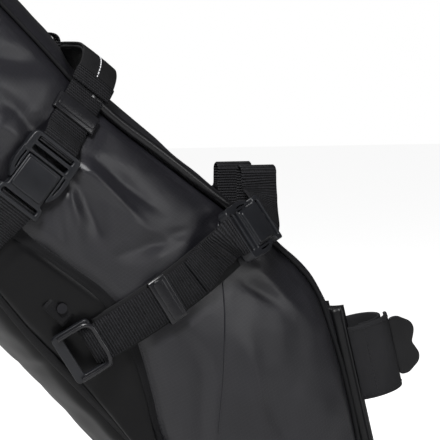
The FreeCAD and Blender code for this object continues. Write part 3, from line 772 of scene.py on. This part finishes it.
def row_normals(rows):
    grid = np.array([[list(p) for p in row] for row in rows])
    along = np.gradient(grid, axis=0)
    across = np.roll(grid, -1, axis=1) - np.roll(grid, 1, axis=1)
    normal = np.cross(along, across)
    normal /= np.linalg.norm(normal, axis=2, keepdims=True) + 1e-9
    middle = grid.mean(axis=1, keepdims=True)
    facing = np.sum(normal * (grid - middle), axis=2, keepdims=True)
    return normal * np.sign(facing)


def shaped_shell(rows):
    """Puffs each panel between its seams and straps and presses the creases in."""
    normals = row_normals(rows)
    made = []
    for i, row in enumerate(rows):
        ends = min(1.0, i / 12, (ROW_COUNT - 1 - i) / 8)
        new_row = []
        for j, point in enumerate(row):
            seam = seam_share(j)
            held, level = strap_hold(point)
            near_seam = min(1.0, seam * 3)
            free = near_seam * (1 - held) * ends
            soft = noise.noise(Vector((point.x, point.y * 1.7, point.z)) / 55)
            fine = noise.noise(Vector((point.x + 900, point.y, point.z)) / 19)
            upper_side = j < STARTS[1] or STARTS[4] <= j < STARTS[5]
            puff = 4.2 * free + free * (2.2 * soft + 0.9 * fine) + held * level * near_seam * ends
            if upper_side:
                shift = 0 if j < STARTS[1] else 9
                puff -= crease_depth(point.x, point.z, shift) * min(1.0, seam * 4) * (1 - 0.8 * held)
            groove = -0.9 * math.exp(-(seam / 0.12) ** 2)
            new_row.append(Vector(point) + Vector(normals[i][j]) * (puff + groove * ends))
        made.append(new_row)
    return made


shell = shaped_shell(shell)


def shell_panel(name, region, material, nodes):
    """One cloth panel of the shell, with its thickness."""
    index = REGIONS.index(region)
    start, span = STARTS[index], SPANS[index]
    points, uvs = [], []
    length = 0.0
    for i, row in enumerate(shell):
        cells = [row[(start + k) % AROUND] for k in range(span + 1)]
        if i:
            middle = (start + span // 2) % AROUND
            length += (row[middle] - shell[i - 1][middle]).length
        width = 0.0
        for k, point in enumerate(cells):
            if k:
                width += (point - cells[k - 1]).length
            points.append(point)
            uvs.append((length * MM, width * MM))
    piece = mesh_piece(name, points, grid_faces(ROW_COUNT, span + 1), material, uvs)
    row = ROW_COUNT // 5
    outward = points[(span + 1) * row + span // 2] - sum(shell[row], Vector()) / AROUND
    if piece.data.polygons[row * span + span // 2].normal.dot(outward) < 0:
        piece.data.flip_normals()
    modifier(piece, "SOLIDIFY", thickness=CLOTH_THICK * MM, offset=-1)
    modifier(piece, "SUBSURF", levels=1, render_levels=1)
    applied(piece)
    settle(piece, "pack", nodes)


shell_panel("side_cloth_right", "upper_right", RIPSTOP, ["side_panel_right", "nose_side_panel_right"])
shell_panel("side_cloth_left", "upper_left", RIPSTOP, ["side_panel_left", "nose_side_panel_left"])
shell_panel("top_cloth", "top", RIPSTOP, ["top_panel", "nose_front_panel"])
shell_panel("lower_cloth_right", "lower_right", COATED, ["lower_side_panel_right"])
shell_panel("lower_cloth_left", "lower_left", COATED, ["lower_side_panel_left"])
shell_panel("base_cloth", "base", COATED, ["base_panel"])


def nose_cap(rings=6, bulge=2.0):
    """A crowned cloth end that closes the shell at the nose."""
    line = (station(0)[1] - station(0)[0]).normalized()
    outward = Vector((-line.z, 0, line.x))
    if outward.z > 0:
        outward = -outward
    ring = shell[0]
    middle = sum(ring, Vector()) / len(ring)
    points = []
    for r in range(rings):
        f = r / rings
        points += [p.lerp(middle, f) + outward * (bulge * math.sin(f * math.pi / 2)) for p in ring]
    points.append(middle + outward * bulge)
    n = len(ring)
    inmost = (rings - 1) * n
    faces = grid_faces(rings, n, True) + [(inmost + k, inmost + (k + 1) % n, rings * n) for k in range(n)]
    piece = mesh_piece("nose_cloth", points, faces, RIPSTOP)
    turned_out(piece.data)
    if piece.data.polygons[0].normal.dot(outward) < 0:
        piece.data.flip_normals()
    modifier(piece, "SOLIDIFY", thickness=CLOTH_THICK * MM, offset=-1)
    applied(piece)
    settle(piece, "pack", ["nose_cap"])


nose_cap()


# ---------------------------------------------------------------- roll top
ROLL_ENTRY = math.atan2(-0.55, 1)


def roll_top(turns=3.2, start_radius=6.0, steps=150, rows=60):
    """Cloth rolled round its stiffener."""
    points, uvs = [], []
    for i in range(rows):
        y = -ROLL_LENGTH / 2 + 3 + (ROLL_LENGTH - 6) * i / (rows - 1)
        wobble = 0.6 * noise.noise(Vector((y / 30, 3, 0)))
        for k in range(steps):
            f = k / (steps - 1)
            angle = ROLL_ENTRY - 2 * math.pi * turns * (1 - f)
            radius = start_radius + (ROLL_RADIUS - 0.6 - start_radius) * f + wobble
            radius += 0.5 * noise.noise(Vector((y / 22, math.cos(angle) * 2, math.sin(angle) * 2)))
            points.append((ROLL_CENTRE.x + radius * math.cos(angle), y, ROLL_CENTRE.z + radius * math.sin(angle)))
            uvs.append((y * MM, f * 0.2))
    piece = mesh_piece("rolled_closure", points, grid_faces(rows, steps), RIPSTOP, uvs)
    modifier(piece, "SOLIDIFY", thickness=ROLL_THICK * MM, offset=0)
    applied(piece)
    settle(piece, "pack", ["roll_top"])


def roll_throat(rows=10):
    """The cloth that leads from the bag's open end into the roll."""
    ring = shell[-1]
    entry = Vector((math.cos(ROLL_ENTRY), 0, math.sin(ROLL_ENTRY)))
    target = ROLL_CENTRE + entry * (ROLL_RADIUS - 2)
    line = (END_TOP - END_BASE).normalized()
    points, uvs = [], []
    for r in range(rows):
        f = r / (rows - 1)
        ease = f * f * (3 - 2 * f)
        for k, p in enumerate(ring):
            high = (p - (END_TOP + END_BASE) / 2).dot(line)
            flat = Vector((target.x, p.y * 1.02, target.z)) + line * (high * 0.12)
            points.append(p.lerp(flat, ease))
            uvs.append((f * 0.02, k * 0.004))
    throat = mesh_piece("roll_throat_cloth", points, grid_faces(rows, len(ring), True), RIPSTOP, uvs)
    turned_out(throat.data)
    modifier(throat, "SOLIDIFY", thickness=ROLL_THICK * MM, offset=0)
    applied(throat)
    settle(throat, "pack")


roll_top()
roll_throat()


# ---------------------------------------------------------------- edges and trim
SIDES = ((False, "right"), (True, "left"))


def side_version(points, mirror):
    """The points, or their mirror images for the left side."""
    return [mirror_point(p) for p in points] if mirror else [Vector(p) for p in points]


def side_ribbon(name, line, mirror, width, depth, material, body, nodes=(), crown=0.0):
    """A ribbon along line, a path and its normals given for the right side."""
    path, outs = (side_version(part, mirror) for part in line)
    return ribbon(name, path, outs, width, depth, material, body, nodes, crown)


def on_shell(u, column, lift):
    """A point of the finished shell at place u and a column, lifted outward, and its normal."""
    row = u * ROWS_PER_STATION
    i = min(int(row), ROW_COUNT - 2)
    f = row - i
    here = shell[i][column % AROUND].lerp(shell[i + 1][column % AROUND], f)
    before = shell[i][(column - 1) % AROUND]
    after = shell[i][(column + 1) % AROUND]
    along = shell[i + 1][column % AROUND] - shell[i][column % AROUND]
    out = along.cross(after - before).normalized()
    middle = sum(shell[i], Vector()) / AROUND
    if out.dot(here - middle) < 0:
        out = -out
    return here + out * lift, out


def edge_line(column, first, last, lift):
    """A path and its normals along one column of the shell."""
    return list(zip(*(on_shell(u, column, lift) for u in spread(first, last, int((last - first) * 12)))))


def piping_line(first, last, lift):
    """A path just outside the right side's top edge."""
    line = []
    for u in spread(first, last, int((last - first) * 14)):
        up = (station(u)[0] - station(u)[1]).normalized()
        line.append(side_point(u, 0) + (up + Vector((0, -1, 0))).normalized() * lift)
    return line


def tape_stitch_line():
    """A path 3.6 mm above the middle of the seam tape."""
    line = []
    for u in spread(3.2, 13, 120):
        point, _ = on_shell(u, STARTS[1], 1.6)
        above, _ = on_shell(u, STARTS[1] - 1, 1.6)
        line.append(point + (above - point).normalized() * 3.6)
    return line


def join_line():
    """The upright join between the side panel and the nose panel."""
    line = []
    for z in spread(96, -34, 60):
        try:
            u, v = side_place(SEAM_X, z)
        except RuntimeError:
            continue
        if not 0.02 < v < tape_share(u) - 0.02:
            continue
        column = v / tape_share(u) * (UPPER_COLUMNS - 1)
        low = int(column)
        line.append(on_shell(u, low, 0.25)[0].lerp(on_shell(u, low + 1, 0.25)[0], column - low))
    return line


for mirror, side in SIDES:
    side_ribbon("seam_tape_" + side, edge_line(STARTS[1], 3.0, 13, 0.5), mirror, 9.5, 1.0, TRIM, "pack",
                ["seam_tape_" + side], 0.3)
    side_ribbon("base_binding_" + side, edge_line(STARTS[2], 0.6, 13, 0.2), mirror, 8.0, 1.8, TRIM, "pack",
                ["base_binding_" + side], 0.3)
    tube("edge_piping_cover_" + side, side_version(piping_line(6.6, 9.2, 3.0), mirror), 3.1, PIPING, "pack",
         ["edge_piping_" + side], 16)
    tube("edge_flange_" + side, side_version(piping_line(0.6, 13.4, 0.6), mirror), 1.5, TRIM, "pack", (), 10)
    stitches("tape_stitching_" + side, [side_version(tape_stitch_line(), mirror)], 2.8, 2.0, 0.22, THREAD, "pack")
for mirror, side in SIDES:
    tube("nose_join_" + side, side_version(join_line(), mirror), 0.4, RIPSTOP, "pack", (), 8)

# ---------------------------------------------------------------- webbing
# Places along a buckle from the line where its two halves meet.
LADDER_BAR = -9.5
TONGUE_MOUTH = -17
SOCKET_BAR = 26.6
SOCKET_END = 33
PATH_STEP = 2.5
TAIL_FROM, TAIL_TO = 59, 79
COVER_STEPS, TACK_STEPS = 23, 4


def bar_point(place, x, z):
    return place @ Vector((x, 0, z))


def outward_of(place):
    return place.to_3x3() @ Vector((0, 0, 1))


def blended(piece, mirror, start, end):
    start, end = (tuple(p * MM) for p in side_version([start, end], mirror))
    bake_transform(piece)


def strap_tail(path, outs, mirror, side):
    """The strap's end, folded over and sewn, lying on the webbing."""
    reach = [(p - FRONT_START).dot(FRONT_DIR) for p in path]
    first, last = (next(i for i, t in enumerate(reach) if t > limit) for limit in (TAIL_FROM, TAIL_TO))
    lap = [path[i] + outs[i] * (WEB_THICK + 0.3 + 2.0 * ((i - first) / (last - first)) ** 2)
           for i in range(first, last + 1)]
    lap_out = outs[first:last + 1]
    ahead = (lap[-1] - lap[-2]).normalized()
    tip = lap[-1] + ahead * 1.6
    lap += [tip - lap_out[-1] * 0.2, tip - lap_out[-1] * 1.9]
    lap_out += [(lap_out[-1] + ahead).normalized(), ahead]
    side_ribbon("front_strap_tail_" + side, (lap, lap_out), mirror, WEB - 0.4, 1.5, WEBBING, "pack", (),
                0.25)
    rows = []
    for i in (last - first - 4, last - first - 2):
        across = (lap[i] - lap[i - 1]).cross(lap_out[i]).normalized()
        rows.append([lap[i] + lap_out[i] * 1.8 + across * s for s in spread(-10.5, 10.5, 16)])
    stitches("strap_tail_stitching_" + side, [side_version(r, mirror) for r in rows], 1.7, 1.2, 0.2, THREAD, "pack")


def front_strap(mirror, side):
    """Webbing from the loop buckle up to the ladder of the front buckle, over its backing."""
    tongue_in = bar_point(FRONT_PLACE, -18, 0.5)
    drift = Vector((-FRONT_DIR.z, 0, FRONT_DIR.x))
    aside = (tongue_in - FRONT_START).dot(drift)
    out = outward_of(FRONT_PLACE)
    run, run_out = [], []
    for i, (p, n) in enumerate(zip(FRONT_LINE, FRONT_OUT)):
        f = min(max((i - 5) / 4, 0), 1)
        run.append(p + drift * (aside * f * f * (3 - 2 * f)))
        run_out.append(n.lerp(out, f).normalized())
    points = [bar_point(LOOP_PLACE, 3, -1.4), bar_point(LOOP_PLACE, 9, 2.2)] + run[1:-1]
    points += [tongue_in, bar_point(FRONT_PLACE, LADDER_BAR, 1.0)]
    path, outs = resample(points, [FRONT_OUT[0]] * 2 + run_out[1:-1] + [out] * 2, PATH_STEP)
    strap = side_ribbon("front_strap_web_" + side, (path, outs), mirror, WEB, WEB_THICK, WEBBING, None,
                        ["front_strap_" + side])
    blended(strap, mirror, FRONT_LINE[6], tongue_in)
    backing = resample(*side_line(FRONT_START - FRONT_DIR * 6, FRONT_DIR, 9, 96, BACKING_LIFT), 3)
    side_ribbon("front_strap_backing_" + side, backing, mirror, WEB + 4, 1.0, TWILL, "pack",
                ["front_strap_backings"], 0.2)
    strap_tail(path, outs, mirror, side)


def girth_line(points, centre):
    """A path through points round the pack, in the rear strap's plane, with normals away from centre."""
    plane = Vector((-REAR_DIR.z, 0, REAR_DIR.x))
    normals = []
    for i, point in enumerate(points):
        along = points[min(i + 1, len(points) - 1)] - points[max(i - 1, 0)]
        out = plane.cross(along).normalized()
        normals.append(-out if out.dot(point - centre) < 0 else out)
    return resample(points, normals, PATH_STEP)


REAR_LOW, REAR_HIGH = rear_side(35.5, REAR_LIFT + 1.4), rear_side(2, REAR_LIFT + 0.6)
REAR_RUN = [REAR_LOW + (REAR_HIGH - REAR_LOW) * f for f in spread(0, 1, 7)]


def rear_strap(mirror, side):
    """Webbing from the middle of the top down to the rear buckle's tongue."""
    edge_y = -REAR_RUN[-1].y
    mouth = bar_point(REAR_PLACE, TONGUE_MOUTH, 0.6)
    over = []
    for k in spread(-0.93, 0, 9):
        over.append(REAR_TOP - REAR_DIR * (5 + 22 * (1 - k ** 4)) + Vector((0, edge_y * k * 0.985, 0)))
    points = [bar_point(REAR_PLACE, LADDER_BAR, 1.2), mouth] + REAR_RUN[1:] + over
    centre = sum(REAR_RUN, Vector()) / len(REAR_RUN) + Vector((0, 60, 0))
    path, outs = girth_line(points, centre)
    strap = side_ribbon("rear_strap_web_" + side, (path, outs), mirror, WEB, WEB_THICK, WEBBING, None,
                        ["rear_strap_top"])
    blended(strap, mirror, REAR_RUN[2], mouth)

    def raised(first, last, lift):
        return [p + o * lift for p, o in zip(path[first:last], outs[first:last])], outs[first:last]

    count = len(path)
    cover = count - COVER_STEPS
    side_ribbon("rear_strap_cover_" + side, raised(cover, count, WEB_THICK + 0.4), mirror, WEB + 2, 1.4, TWILL, "pack",
                ["rear_strap_sleeve"], 0.3)
    side_ribbon("rear_strap_bar_tack_" + side, raised(cover, cover + TACK_STEPS, WEB_THICK + 0.2), mirror, WEB + 3, 2.6,
                WEBBING, "pack", (), 0.5)
    # Pale flecks over the sleeve near the top: a painted highlight.
    flecks = [[path[i] + outs[i] * 3.7, path[i].lerp(path[i + 1], 0.4) + outs[i] * 3.7]
              for i in range(count - 20, count - 10)]
    stitches("painted_highlight_flecks_" + side, [side_version(f, mirror) for f in flecks], 1.6, 0.9, 0.45, PAINTED_HIGHLIGHT, "pack")


def lower_strap():
    """Webbing from one rear buckle's socket under the base to the other's."""
    lift = GAP + 1.8 + WEB_GAP + 0.5
    low = [rear_side(t, lift) for t in spread(REAR_MIDDLE + 28, BASE_REACH - 3, 4)]
    low_y = -low[-1].y
    under = []
    for k in spread(-0.97, 0.97, 11):
        under.append(REAR_TOP + REAR_DIR * (BASE_REACH + lift + 8.5 * (1 - k ** 2)) + Vector((0, low_y * k, 0)))
    half = [bar_point(REAR_PLACE, SOCKET_BAR, 0.8), bar_point(REAR_PLACE, SOCKET_END + 1, -0.6)] + low[1:]
    points = half + under + [mirror_point(p) for p in half[::-1]]
    path, outs = girth_line(points, sum(points, Vector()) / len(points))
    ribbon("rear_strap_under", path, outs, WEB, WEB_THICK, WEBBING, "pack", ["rear_strap_lower"])


def rail_strap(mirror, side):
    """From the front buckle's bar up over the saddle rail and down to the top panel."""
    rail = Vector((-84, -22, 125))
    radius = 3.5
    points = [bar_point(FRONT_PLACE, SOCKET_BAR, 0.6), bar_point(FRONT_PLACE, SOCKET_END, -0.8),
              rail + Vector((0, -radius - 3, -14)), rail + Vector((0, -radius, -3))]
    normals = [outward_of(FRONT_PLACE)] * 2 + [Vector((0.1, -1, 0.2)), Vector((0, -1, 0))]
    for a in spread(math.pi, 0, 9):
        way = Vector((0, math.cos(a), math.sin(a)))
        points.append(rail + way * radius)
        normals.append(way)
    points += [rail + Vector((0, radius, -8)), rail + Vector((0, radius, -26))]
    normals += [Vector((0, 1, 0))] * 2
    side_ribbon("rail_loop_web_" + side, resample(points, normals, 2.0), mirror, WEB - 1, WEB_THICK - 0.1, WEBBING,
                "pack", ["rail_strap_" + side])


def roll_straps(mirror, side):
    """The webbing on each half of a roll buckle: down to the side panel and up to the roll's end."""
    bar = bar_point(ROLL_PLACE, SOCKET_BAR, 0.6)
    foot = side_at(-300, 208, 0.9)
    points = [bar, bar_point(ROLL_PLACE, SOCKET_END, -1.0), (bar + foot) / 2 + Vector((0, -2.5, 0)), foot,
              side_at(-292, 198, 0.9)]
    normals = [Vector((0, -1, 0))] * 5
    side_ribbon("roll_anchor_web_" + side, resample(points, normals, PATH_STEP), mirror, WEB, WEB_THICK, WEBBING,
                "pack", ["roll_anchor_straps"])
    mouth = bar_point(ROLL_PLACE, TONGUE_MOUTH, 0.0)
    end = Vector((ROLL_CENTRE.x, -ROLL_LENGTH / 2 - 1.2, ROLL_CENTRE.z))
    points = [bar_point(ROLL_PLACE, LADDER_BAR, 0.8), mouth, mouth * 0.45 + end * 0.55 + Vector((0, -0.6, 0)), end,
              end + Vector((-6, 0, 7))]
    strap = side_ribbon("roll_tab_web_" + side, resample(points, normals, PATH_STEP), mirror, WEB, WEB_THICK, WEBBING,
                        None, ["roll_tabs"])
    blended(strap, mirror, end, mouth)


for mirror, side in SIDES:
    front_strap(mirror, side)
    rear_strap(mirror, side)
    rail_strap(mirror, side)
    roll_straps(mirror, side)
lower_strap()


# ---------------------------------------------------------------- buckles
# Outlines lie in a buckle's own frame: x along the strap, y across it.
SOCKET_RIM = [(0, -12.4), (22.5, -12.4), (23.4, -15.6), (31, -16), (31, 16), (23.4, 15.6), (22.5, 12.4), (0, 12.4)]
TONGUE_RIM = [(-14.4, -15.5), (-12, -17.6), (-0.5, -18), (-0.5, 18), (-12, 17.6), (-14.4, 15.5)]
ARM = [(-3, 18.0), (3, 18.3), (9, 18.0), (14, 16.6), (18.4, 13.6), (17.6, 12.95), (10, 12.95), (2, 12.95), (-3, 12.95)]
ARM_SLIT = [(0, 15.2), (6, 15.5), (12, 14.9), (12, 14.1), (6, 14.6), (0, 14.3)]
BAR_HALF = 12.9


def box_outline(x_low, x_high, half, radius):
    return rounded([(x_low, -half), (x_high, -half), (x_high, half), (x_low, half)], radius)


def flipped(outline, sign):
    return [(x, y * sign) for x, y in outline]


def moulding(name, outlines, low, high, bevel, place, mirror, body=None, nodes=(), material=PLASTIC):
    return plate(name, outlines, low, high, bevel, place, material, body, nodes, mirror)


def buckle(kind, place, mirror, side):
    """A side-release buckle: a flat socket, and a tongue with a ladder, a guide and two arms."""
    socket_slot = box_outline(25.1, 28.4, BAR_HALF, 1.2)
    body = moulding("%s_buckle_socket_body_%s" % (kind, side), [rounded(SOCKET_RIM, 1.6), socket_slot], -4.0, 3.6, 1.1,
                    place, mirror, "pack", ["%s_buckle_socket_%s" % (kind, side)])
    pad = moulding("socket_pad_" + kind, [box_outline(1.2, 21.6, 11.4, 2.4)], 2.6, 4.4, 1.2, place, mirror)
    joined(body, pad)
    ladder = [box_outline(-5.8, -2.7, BAR_HALF, 1.0), box_outline(-11.9, -8.5, BAR_HALF, 1.0)]
    base = moulding("%s_buckle_tongue_body_%s" % (kind, side), [rounded(TONGUE_RIM, 1.6)] + ladder, -3.9, 3.7, 1.1,
                    place, mirror, "%s_tongue_%s" % (kind, side), ["%s_buckle_tongue_%s" % (kind, side)])
    arms = [moulding("arm_%s_%d" % (kind, sign), [rounded(flipped(ARM, sign), 1.0), flipped(ARM_SLIT, sign)], -3.3, 3.3,
                     0.5, place, mirror) for sign in (-1, 1)]
    guide = moulding("guide_" + kind, [box_outline(-1.2, 13.5, 7.8, 2.0)], -1.6, 1.6, 0.5, place, mirror)
    joined(base, guide, *arms)


def loop_buckle(mirror, side):
    """A square loop, its wire bail and the woven ear that anchors it."""
    moulding("loop_buckle_body_" + side, [box_outline(-15, 11, 17, 3.5), box_outline(-8.5, 6.5, 13, 1.6)], -2, 2.4, 0.9,
             LOOP_PLACE, mirror, "pack", ["loop_buckle_" + side])
    high = 4.2
    wire = [(-11, -14.8, high), (4, -14.8, high), (9, -13.6, high), (11, -9.5, high), (11, 0, high), (11, 9.5, high),
            (9, 13.6, high), (4, 14.8, high), (-11, 14.8, high)]
    bent, _ = resample(wire, [Vector((0, 0, 1))] * len(wire), 1.2)
    tube("loop_bail_wire_" + side, side_version([LOOP_PLACE @ p for p in bent], mirror), 1.55, GLOSS, "bail_" + side,
         ["loop_bail_" + side], 14)
    ear_start = Vector((LOOP_AT.x - 11, 0, LOOP_AT.z + 19))
    ear = resample(*side_line(ear_start, Vector((-0.72, 0, 0.69)), 4, 18, GAP + 2.6), 2)
    side_ribbon("loop_anchor_ear_" + side, ear, mirror, 15, 2.0, TRIM, "pack", ["loop_anchor_" + side], 0.2)


for mirror, side in SIDES:
    buckle("front", FRONT_PLACE, mirror, side)
    buckle("rear", REAR_PLACE, mirror, side)
    buckle("roll", ROLL_PLACE, mirror, side)
    loop_buckle(mirror, side)


# ---------------------------------------------------------------- keepers
def keeper(kind, place, mirror, side):
    """A moulded loop that slides along a strap."""
    name = "%s_keeper_loop_%s" % (kind, side)
    body = "%s_keeper_%s" % (kind, side)
    low = -(KEEPER_WALL + KEEPER_PLAY)
    high = low + WEB_THICK + 2 * KEEPER_WALL + 2 * KEEPER_PLAY
    turn = place @ Matrix(((0, 0, 1, 0), (1, 0, 0, 0), (0, 1, 0, 0), (0, 0, 0, 1)))
    half, inner = WEB / 2 + 3, WEB / 2 + 0.4
    rim = rounded([(-half, low), (half, low), (half, high), (-half, high)], 2.2)
    hole = rounded([(-inner, low + KEEPER_WALL), (inner, low + KEEPER_WALL), (inner, high - KEEPER_WALL),
                    (-inner, high - KEEPER_WALL)], 0.4)
    loop = moulding(name, [rim, hole], -6, 6, 0.7, turn, mirror, body, [body], GLOSS)
    face = placed_at(bar_point(place, 0, high), place.to_3x3() @ Vector((1, 0, 0)), outward_of(place))
    ridge = moulding(name + "_ridge", [box_outline(-3.6, 3.6, half - 1.6, 2.6)], -0.5, 0.9, 0.65, face, mirror,
                     material=GLOSS)
    joined(loop, ridge)


KEEPER_PLACES = {
    "front": placed_at((FRONT_LINE[3] + FRONT_LINE[4]) * 0.5, FRONT_LINE[4] - FRONT_LINE[3], FRONT_OUT[3]),
    "rear": placed_at((REAR_RUN[3] + REAR_RUN[4]) * 0.5, REAR_RUN[3] - REAR_RUN[4], Vector((0.26, -0.906, 0.335))),
}
for mirror, side in SIDES:
    for kind, place in KEEPER_PLACES.items():
        keeper(kind, place, mirror, side)


# ---------------------------------------------------------------- cuff and post pad
CUFF_HALF = 25.0
CUFF_THICK = 2.2
PATCH_HALF = 20
FLAP_RADIUS = POST_RADIUS + CUFF_THICK + 0.9 + RUN_GAP + 1.0


def post_point(radius, degrees, height):
    angle = math.radians(degrees)
    return POST_TURN @ Vector((radius * math.cos(angle), radius * math.sin(angle), height))


def wrap_sheet(name, radius, depth, low, high, half, material, body, nodes, wave=0.0):
    """A curved sheet about the post with rounded edges, from angle low to high."""
    steps, rows = max(12, int((high - low) / 4)), 14
    points, uvs = [], []
    for angle in spread(low, high, steps + 1):
        for height in spread(-half, half, rows + 1):
            ripple = wave * noise.noise(Vector((angle / 22, height / 14, 1)))
            points.append(post_point(radius + depth / 2 + ripple, angle, height))
            uvs.append((math.radians(angle) * radius * MM, height * MM))
    piece = mesh_piece(name, points, grid_faces(steps + 1, rows + 1), material, uvs)
    modifier(piece, "SOLIDIFY", thickness=depth * MM, offset=0)
    modifier(piece, "BEVEL", width=min(0.6, depth / 3) * MM, segments=2, limit_method="ANGLE")
    applied(piece)
    settle(piece, body, nodes)


def flap_stitching():
    """Stitches along the flap's two long edges and across its root."""
    out = FLAP_RADIUS + CUFF_THICK + 0.1
    edge = CUFF_HALF - 2.6
    rows = [[post_point(out, a, h) for a in spread(-122, -12, 40)] for h in (edge, -edge)]
    rows.append([post_point(out, -98, h) for h in spread(3 - CUFF_HALF, CUFF_HALF - 3, 30)])
    stitches("cuff_stitching", rows, 2.6, 1.8, 0.22, THREAD, "cuff_closure")


def pull_tab():
    """Scalloped grip on the flap's front edge."""
    reach = FLAP_RADIUS + CUFF_THICK / 2
    angle = math.radians(-8)
    turn = POST_TURN @ Matrix.Translation((reach * math.cos(angle), reach * math.sin(angle), 0))
    turn = turn @ Matrix.Rotation(angle, 4, "Z") @ Matrix.Rotation(math.radians(90), 4, "X")
    upper = [(14.2, 0), (16.2, 4), (18, 9), (16.5, 14), (11.5, 17.5), (8, 20), (1.4, 20)]
    outline = flipped(upper[:0:-1], -1) + upper
    plate("cuff_grip_tab", [rounded(outline, 4.0)], -0.9, 0.9, 0.5, turn, RUBBER, "cuff_closure",
          ["cuff_pull_tab"])


def grip_pad(steps=96, rows=40):
    """Ridged rubber pad between the nose and the post."""
    length = 104.0
    low = -length * 0.62
    first, last = 128, 232
    inner, outer = POST_RADIUS + 0.6, POST_RADIUS + 11.2
    profile = []
    for angle in spread(first, last, steps + 1):
        ridge = 0.5 + 0.5 * math.cos(math.radians((angle - 130) * 18))
        profile.append((outer - 2.2 * ridge, angle))
    profile += [(inner, angle) for angle in spread(last, first, 30)]
    points, uvs = [], []
    for j in range(rows + 1):
        height = low + length * j / rows
        edge = min(j, rows - j) / 3
        shrink = 0 if edge >= 1 else 1.2 * (1 - edge) ** 2
        for radius, angle in profile:
            points.append(post_point(radius - (shrink if radius > inner + 2 else 0), angle, height))
            uvs.append((radius * math.radians(angle) * MM, height * MM))
    faces = grid_faces(rows + 1, len(profile), True) + end_faces(rows + 1, len(profile))
    piece = mesh_piece("ridged_post_pad", points, faces, RUBBER, uvs)
    turned_out(piece.data)
    settle(piece, "pack", ["post_pad"])


wrap_sheet("cuff_inner_wrap", POST_RADIUS, CUFF_THICK, -105, 127, CUFF_HALF, CUFF, "pack", ["cuff_wrap"])
wrap_sheet("cuff_hook_field", POST_RADIUS + CUFF_THICK + 0.1, 0.8, -100, -20, PATCH_HALF, TWILL, "pack",
           ["cuff_hook_patch"])
wrap_sheet("cuff_loop_field", FLAP_RADIUS - 0.8, 0.75, -100, -20, PATCH_HALF, TWILL, "cuff_closure",
           ["cuff_loop_patch"])
wrap_sheet("cuff_outer_flap", FLAP_RADIUS, CUFF_THICK, -126.5, -8, CUFF_HALF, CUFF, "cuff_closure", ["cuff_flap"], 0.25)
flap_stitching()
pull_tab()
grip_pad()

# ---------------------------------------------------------------- ridge loops
for index, u in enumerate((9.75, 10.7, 11.6)):
    foot = cap_point(u, 0, True, 3.0)
    along = (cap_point(u - 0.3, 0, True, 3.0) - foot).normalized()
    up = Vector((-along.z, 0, along.x))
    up = -up if up.z < 0 else up
    arc = [foot + along * (14 * f) + up * (5.0 * math.sin(math.pi * f)) for f in spread(0, 1, 9)]
    path, outs = resample(arc, [up] * 9, 1.5)
    ribbon("ridge_loop_%d" % (index + 1), path, outs, 12, 1.2, WEBBING, "pack",
           ["ridge_loops"] if index == 0 else ())

# ---------------------------------------------------------------- kept CAD pieces
KEPT = {"base_stiffener": PLASTIC, "roll_stiffener": PLASTIC, "edge_stays": ALUMINIUM, "anchor_rivets": STEEL}
for name, material in KEPT.items():
    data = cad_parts[name].data
    data.materials.clear()
    data.materials.append(material)


# ---------------------------------------------------------------- camera and light
VIEW_TARGET = Vector((-100.96, 0, 93.19)) * MM
VIEW_DISTANCE = 1.5
VIEW_WIDTH = 0.286
SENSOR = 36
WHITE = (1, 1, 1, 1)


def camera():
    """From the right, a little from behind and above."""
    azimuth, elevation = math.radians(-20), math.radians(4.5)
    data = bpy.data.cameras.new("camera")
    data.sensor_width = SENSOR
    data.lens = SENSOR * VIEW_DISTANCE / VIEW_WIDTH
    obj = linked("camera", data)
    level = math.cos(elevation)
    way = Vector((math.sin(azimuth) * level, -math.cos(azimuth) * level, math.sin(elevation)))
    obj.location = VIEW_TARGET + way * VIEW_DISTANCE
    obj.rotation_euler = (-way).to_track_quat("-Z", "Y").to_euler()
    bpy.context.scene.camera = obj


def lamp(name, location, power, wide, target):
    data = bpy.data.lights.new(name, "AREA")
    data.energy = power
    data.size = wide
    obj = linked(name, data)
    obj.location = location
    obj.rotation_euler = (Vector(target) - Vector(location)).to_track_quat("-Z", "Y").to_euler()


def seen_as(tree, usual, to_camera, end):
    """Sends usual to the output called end, and to_camera where the camera looks straight at it."""
    path = node(tree, "ShaderNodeLightPath")
    mixed = node(tree, "ShaderNodeMixShader", {0: path.outputs["Is Camera Ray"], 1: usual, 2: to_camera})
    tree.links.new(mixed.outputs[0], tree.nodes[end].inputs[0])


def studio():
    """White surroundings that light the bag only a little, a pale floor and three lamps."""
    world = bpy.data.worlds.new("studio")
    bpy.context.scene.world = world
    world.use_nodes = True
    tree = world.node_tree
    plain = tree.nodes["Background"]
    plain.inputs[0].default_value = WHITE
    plain.inputs[1].default_value = 0.05
    white = node(tree, "ShaderNodeBackground", {0: WHITE, 1: 1.0})
    seen_as(tree, plain.outputs[0], white.outputs[0], "World Output")
    bpy.context.scene.view_settings.view_transform = "Standard"

    low = cad_box[0][2] - 0.012
    mesh = bpy.data.meshes.new("floor")
    mesh.from_pydata([(-4, -4, low), (4, -4, low), (4, 6, low), (-4, 6, low)], [], [(0, 1, 2, 3)])
    floor = linked("floor", mesh)
    mat, tree, shader = new_material("pale_floor")
    shader.inputs["Base Color"].default_value = (0.75, 0.75, 0.75, 1)
    shader.inputs["Roughness"].default_value = 0.9
    glow = node(tree, "ShaderNodeEmission", {0: WHITE, 1: 0.9})
    added = node(tree, "ShaderNodeAddShader", {0: shader.outputs[0], 1: glow.outputs[0]})
    seen_as(tree, shader.outputs[0], added.outputs[0], "Material Output")
    mesh.materials.append(mat)
    lamp("key", (-0.70, -0.95, 1.15), 30, 0.40, (-0.15, 0, 0.08))
    lamp("fill", (1.0, -1.3, 0.5), 7, 0.6, (-0.1, 0, 0.05))
    lamp("rim", (-0.9, 0.9, 0.9), 12, 0.8, (-0.15, 0, 0.1))


camera()
studio()
